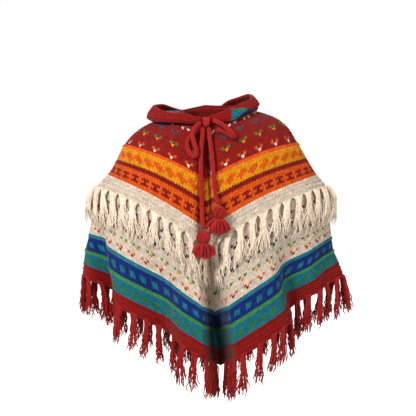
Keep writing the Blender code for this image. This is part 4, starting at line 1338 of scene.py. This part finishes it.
# --------------------------------------------------------------- the fringes
def hang_lines(q, starts, row0, length, steps):
    """Lines that hang straight down the cloth from the given distances along a row:
    the distance from the centre line and the row at each step."""
    d, row = np.array(starts, float), np.full(len(starts), float(row0))
    out = [(d.copy(), row.copy())]
    h = length / (steps - 1)
    for _ in range(steps - 1):
        a, _n = place(q, d, row, np.zeros_like(d))
        b, _n = place(q, d + 0.003, row, np.zeros_like(d))
        c, _n = place(q, d, row + 0.6, np.zeros_like(d))
        along, down = (b - a) / 0.003, (c - a) / 0.6
        flat = along * np.array([1.0, 1.0, 0.0])
        flat /= np.linalg.norm(flat, axis=1)[:, None] + 1e-9
        slip = -(down * flat).sum(1) / np.maximum((along * flat).sum(1), 0.25)
        slip = np.clip(slip, -0.012, 0.012)
        way = down + along * slip[:, None]
        k = h / np.maximum(np.linalg.norm(way, axis=1), 0.002)
        d, row = d + slip * k, row + k
        out.append((d.copy(), row.copy()))
    return np.array([o[0] for o in out]).T, np.array([o[1] for o in out]).T


def cream_fringe(face, label):
    """Tassels of thick soft roving, flared where they are knotted in, with arched
    gaps between, and fraying below into curly strands that cross the next ones."""
    lines, radii, shade = [], [], []
    K = 15
    t = np.linspace(0, 1, K)
    for side in "LR":
        q = face + side
        total = float(row_length(q, 44.0))
        n = int(round(total / CREAM_PITCH))
        pitch = total / n
        centres = (np.arange(n) + 0.5) * pitch + RNG.normal(0, 0.0016, n)
        reach = 1.52 * FRINGE_UPPER
        hang_d, hang_row = hang_lines(q, centres, 43.8, reach, 22)
        steps = np.linspace(0, reach, 22)
        for m in range(n):
            length = FRINGE_UPPER * RNG.uniform(0.98, 1.16) * (1 + 0.12 * math.exp(-(centres[m] / 0.10) ** 2))
            lean = RNG.normal(-0.002, 0.005)
            width = RNG.uniform(0.88, 1.15)
            twist = RNG.uniform(-1.0, 1.0)
            near_side = math.exp(-((total - centres[m]) / 0.050) ** 2)
            thick, thin = 8, 13
            for s in range(thick + thin):
                bulky = s < thick
                if bulky:
                    x = -1 + 2 * (s + 0.5) / thick
                    layer = 1 if s % 2 else -1
                    own = length * RNG.uniform(0.55, 0.98)
                    w = np.interp(t, (0, 0.07, 0.18, 0.42, 0.70, 1.0),
                                  (0.0150, 0.0098, 0.0056, 0.0048, 0.0082, 0.0125)) * width
                    curl = RNG.uniform(0.0010, 0.0044)
                    r = RNG.uniform(0.0025, 0.0031) * np.interp(t, (0, 0.12, 0.5, 0.85, 1.0),
                                                                (0.80, 1.05, 0.92, 0.62, 0.26))
                    off = 0.0044 + 0.0018 * layer * np.sin(math.pi * np.minimum(t * 1.2 + 0.1, 1)) \
                        + 0.0020 * np.sin(math.pi * t)
                    flick = RNG.normal(0, 0.0070) * t ** 2
                    waves = RNG.uniform(0.8, 1.7)
                else:
                    x = RNG.uniform(-1, 1)
                    own = length * RNG.uniform(0.78, 1.14)
                    w = np.interp(t, (0, 0.12, 0.4, 1.0), (0.0060, 0.0050, 0.0060, 0.0120)) * width
                    curl = RNG.uniform(0.0022, 0.0080)
                    r = RNG.uniform(0.00095, 0.00150) * np.interp(t, (0, 0.1, 0.8, 1.0),
                                                                  (0.8, 1.0, 0.8, 0.4))
                    off = 0.0060 + 0.0024 * np.sin(2 * math.pi * (t * RNG.uniform(0.8, 1.8)
                                                                  + RNG.uniform(0, 1)))
                    flick = RNG.normal(0, 0.0150) * t ** 1.4
                    waves = RNG.uniform(1.0, 2.6)
                off = off + near_side * 0.011 * np.sin(math.pi * np.minimum(t * 0.8 + 0.06, 1)) \
                    * (1 + 0.3 * x)
                go = t * own
                d = (np.interp(go, steps, hang_d[m]) + lean * t + w * x * np.cos(twist * t) + flick
                     + curl * t ** 0.9 * np.sin(2 * math.pi * t * waves + RNG.uniform(0, 6.28)))
                row = np.interp(go, steps, hang_row[m])
                p, _ = place(q, d, row, np.maximum(off, r + 0.0004))
                lines.append(p)
                radii.append(r)
                shade.append(np.interp(t, (0, 0.12, 1), (0.66, 0.88, 0.92)) + RNG.normal(0, 0.06))
    colours = tinted(YARN["cream"], len(lines), 0.035)
    return strands("fringe_cream_" + label, np.array(lines), np.array(radii), 5, colours, WOOL_YARN,
                   ["fringe_upper_" + label], np.clip(np.array(shade), 0, 1))


def red_fringe(face, label):
    lines, radii, shade = [], [], []
    K = 15
    t = np.linspace(0, 1, K)
    for side in "LR":
        q = face + side
        total = float(row_length(q, 90.0))
        n = int(round(total / RED_PITCH))
        pitch = total / n
        for m in range(n):
            centre = (m + 0.5) * pitch + RNG.normal(0, 0.0030)
            p0, n0 = place(q, np.array([centre]), np.array([89.9]), np.array([-TIER_STEP]))
            p1, _ = place(q, np.array([centre + 0.004]), np.array([89.9]), np.array([-TIER_STEP]))
            side_way = p1[0] - p0[0]
            side_way[2] = 0
            side_way /= np.linalg.norm(side_way) + 1e-9
            out_way = np.array([n0[0][0], n0[0][1], 0.0])
            out_way /= np.linalg.norm(out_way) + 1e-9
            length = RNG.uniform(0.090, 0.104)
            swing = RNG.normal(0, 0.006)
            bend = RNG.normal(0, 0.004)
            width = RNG.uniform(0.85, 1.15)
            out_swing = 0.014 * math.exp(-((total - centre) / 0.060) ** 2) if side == "R" else 0.0
            count = 18
            twist = RNG.uniform(-1.4, 1.4)
            for s in range(count):
                phi = 2 * math.pi * (s / count) * 1.618 * 3
                rad = 0.45 + 0.55 * ((s % 4) / 3)
                w = np.interp(t, (0, 0.06, 0.16, 0.4, 0.7, 1.0),
                              (0.0092, 0.0076, 0.0064, 0.0076, 0.0105, 0.0135)) * width
                depth = np.interp(t, (0, 0.1, 0.5, 1.0), (0.0030, 0.0042, 0.0060, 0.0085))
                own = length * RNG.uniform(0.74, 1.04)
                f1, f2 = RNG.uniform(2.0, 4.2), RNG.uniform(2.0, 4.2)
                amp = RNG.uniform(0.0010, 0.0040)
                la = (w * rad * np.cos(phi + twist * t) + swing * t + bend * np.sin(math.pi * t)
                      + amp * t ** 0.8 * np.sin(2 * math.pi * f1 * t + RNG.uniform(0, 6.28))
                      + RNG.normal(0, 0.0045) * t ** 2.5)
                oa = (0.0012 + depth * rad * np.sin(phi + twist * t)
                      + amp * 0.8 * t ** 0.8 * np.sin(2 * math.pi * f2 * t + RNG.uniform(0, 6.28))
                      + (0.004 + out_swing) * t)
                root, _ = place(q, np.array([centre + la[0]]), np.array([89.4]), np.array([-TIER_STEP + 0.0012]))
                base = p0[0] + side_way * 0.0
                down = own * t
                hem_z = root[0][2]
                line = base[None, :] + side_way[None, :] * la[:, None] + out_way[None, :] * oa[:, None]
                line[:, 2] = (hem_z * (1 - np.clip(t * 3, 0, 1)) + base[2] * np.clip(t * 3, 0, 1)) - down + 0.003
                line[0, :2] = root[0][:2]
                lines.append(line)
                radii.append(RNG.uniform(0.00130, 0.00190) * np.interp(
                    t, (0, 0.1, 0.6, 0.93, 1.0), (1.35, 1.2, 1.0, 0.8, 0.4)))
                shade.append(np.interp(t, (0, 0.15, 1), (0.7, 0.8, 0.9)) + RNG.normal(0, 0.06))
    colours = tinted(YARN["crimson"], len(lines), 0.10)
    return strands("fringe_red_" + label, np.array(lines), np.array(radii), 5, colours, WOOL_YARN,
                   ["fringe_lower_" + label], np.clip(np.array(shade), 0, 1))


for face, label in (("F", "front"), ("B", "back")):
    cream_fringe(face, label)
    red_fringe(face, label)

# ------------------------------------------------- what each cloth was cut to
for face, label in (("F", "front"), ("B", "back")):
    w, l, a = flat_size(face, 0, 44)
    w, l, a = flat_size(face, 38, 90)

# ------------------------------------------------------------ floor and light
def plain(name, colour, rough):
    m = bpy.data.materials.new(name)
    m.use_nodes = True
    b = m.node_tree.nodes["Principled BSDF"]
    b.inputs["Base Color"].default_value = (*colour, 1)
    b.inputs["Roughness"].default_value = rough
    return m


mesh = bpy.data.meshes.new("floor")
mesh.from_pydata([(-14, -9, -1.35), (14, -9, -1.35), (14, 19, -1.35), (-14, 19, -1.35)], [], [(0, 1, 2, 3)])
mesh.materials.append(plain("pale_floor", (0.93, 0.93, 0.93), 0.9))
mesh.materials[0].node_tree.nodes["Principled BSDF"].inputs["Emission Color"].default_value = (1, 1, 1, 1)
mesh.materials[0].node_tree.nodes["Principled BSDF"].inputs["Emission Strength"].default_value = 0.85
floor = bpy.data.objects.new("floor", mesh)
bpy.context.scene.collection.objects.link(floor)
floor.visible_diffuse = False          # so that it doesn't light the cloth from below

world = bpy.data.worlds.new("studio")
bpy.context.scene.world = world
world.use_nodes = True
wt = world.node_tree
soft = wt.nodes["Background"]
soft.inputs["Color"].default_value = (1.0, 0.965, 0.925, 1)
soft.inputs["Strength"].default_value = 0.42
plain_back = wt.nodes.new("ShaderNodeBackground")         # a plain white studio behind
plain_back.inputs["Color"].default_value = (1.0, 1.0, 1.0, 1)
plain_back.inputs["Strength"].default_value = 1.0
seen = wt.nodes.new("ShaderNodeLightPath")
both = wt.nodes.new("ShaderNodeMixShader")
wt.links.new(seen.outputs["Is Camera Ray"], both.inputs["Fac"])
wt.links.new(soft.outputs["Background"], both.inputs[1])
wt.links.new(plain_back.outputs["Background"], both.inputs[2])
wt.links.new(both.outputs["Shader"], wt.nodes["World Output"].inputs["Surface"])


def area_light(name, at, towards, size, power, colour=(1, 1, 1)):
    data = bpy.data.lights.new(name, "AREA")
    data.shape = "DISK"
    data.size = size
    data.energy = power
    data.color = colour
    o = bpy.data.objects.new(name, data)
    bpy.context.scene.collection.objects.link(o)
    o.location = at
    from mathutils import Vector
    o.rotation_mode = "QUATERNION"
    o.rotation_quaternion = (Vector(towards) - Vector(at)).to_track_quat("-Z", "Y")
    return o


area_light("key", (-1.9, -2.8, 1.5), (0, 0, -0.25), 1.0, 112.0, (1.0, 0.98, 0.955))
area_light("fill", (2.7, -2.3, 0.8), (0.1, 0, -0.3), 1.6, 35.0, (1.0, 0.95, 0.87))
area_light("back", (0.6, 3.2, 1.6), (0, 0, -0.25), 1.6, 46.0, (1.0, 0.99, 0.98))
bpy.context.scene.view_settings.view_transform = "Standard"
bpy.context.scene.view_settings.look = "None"
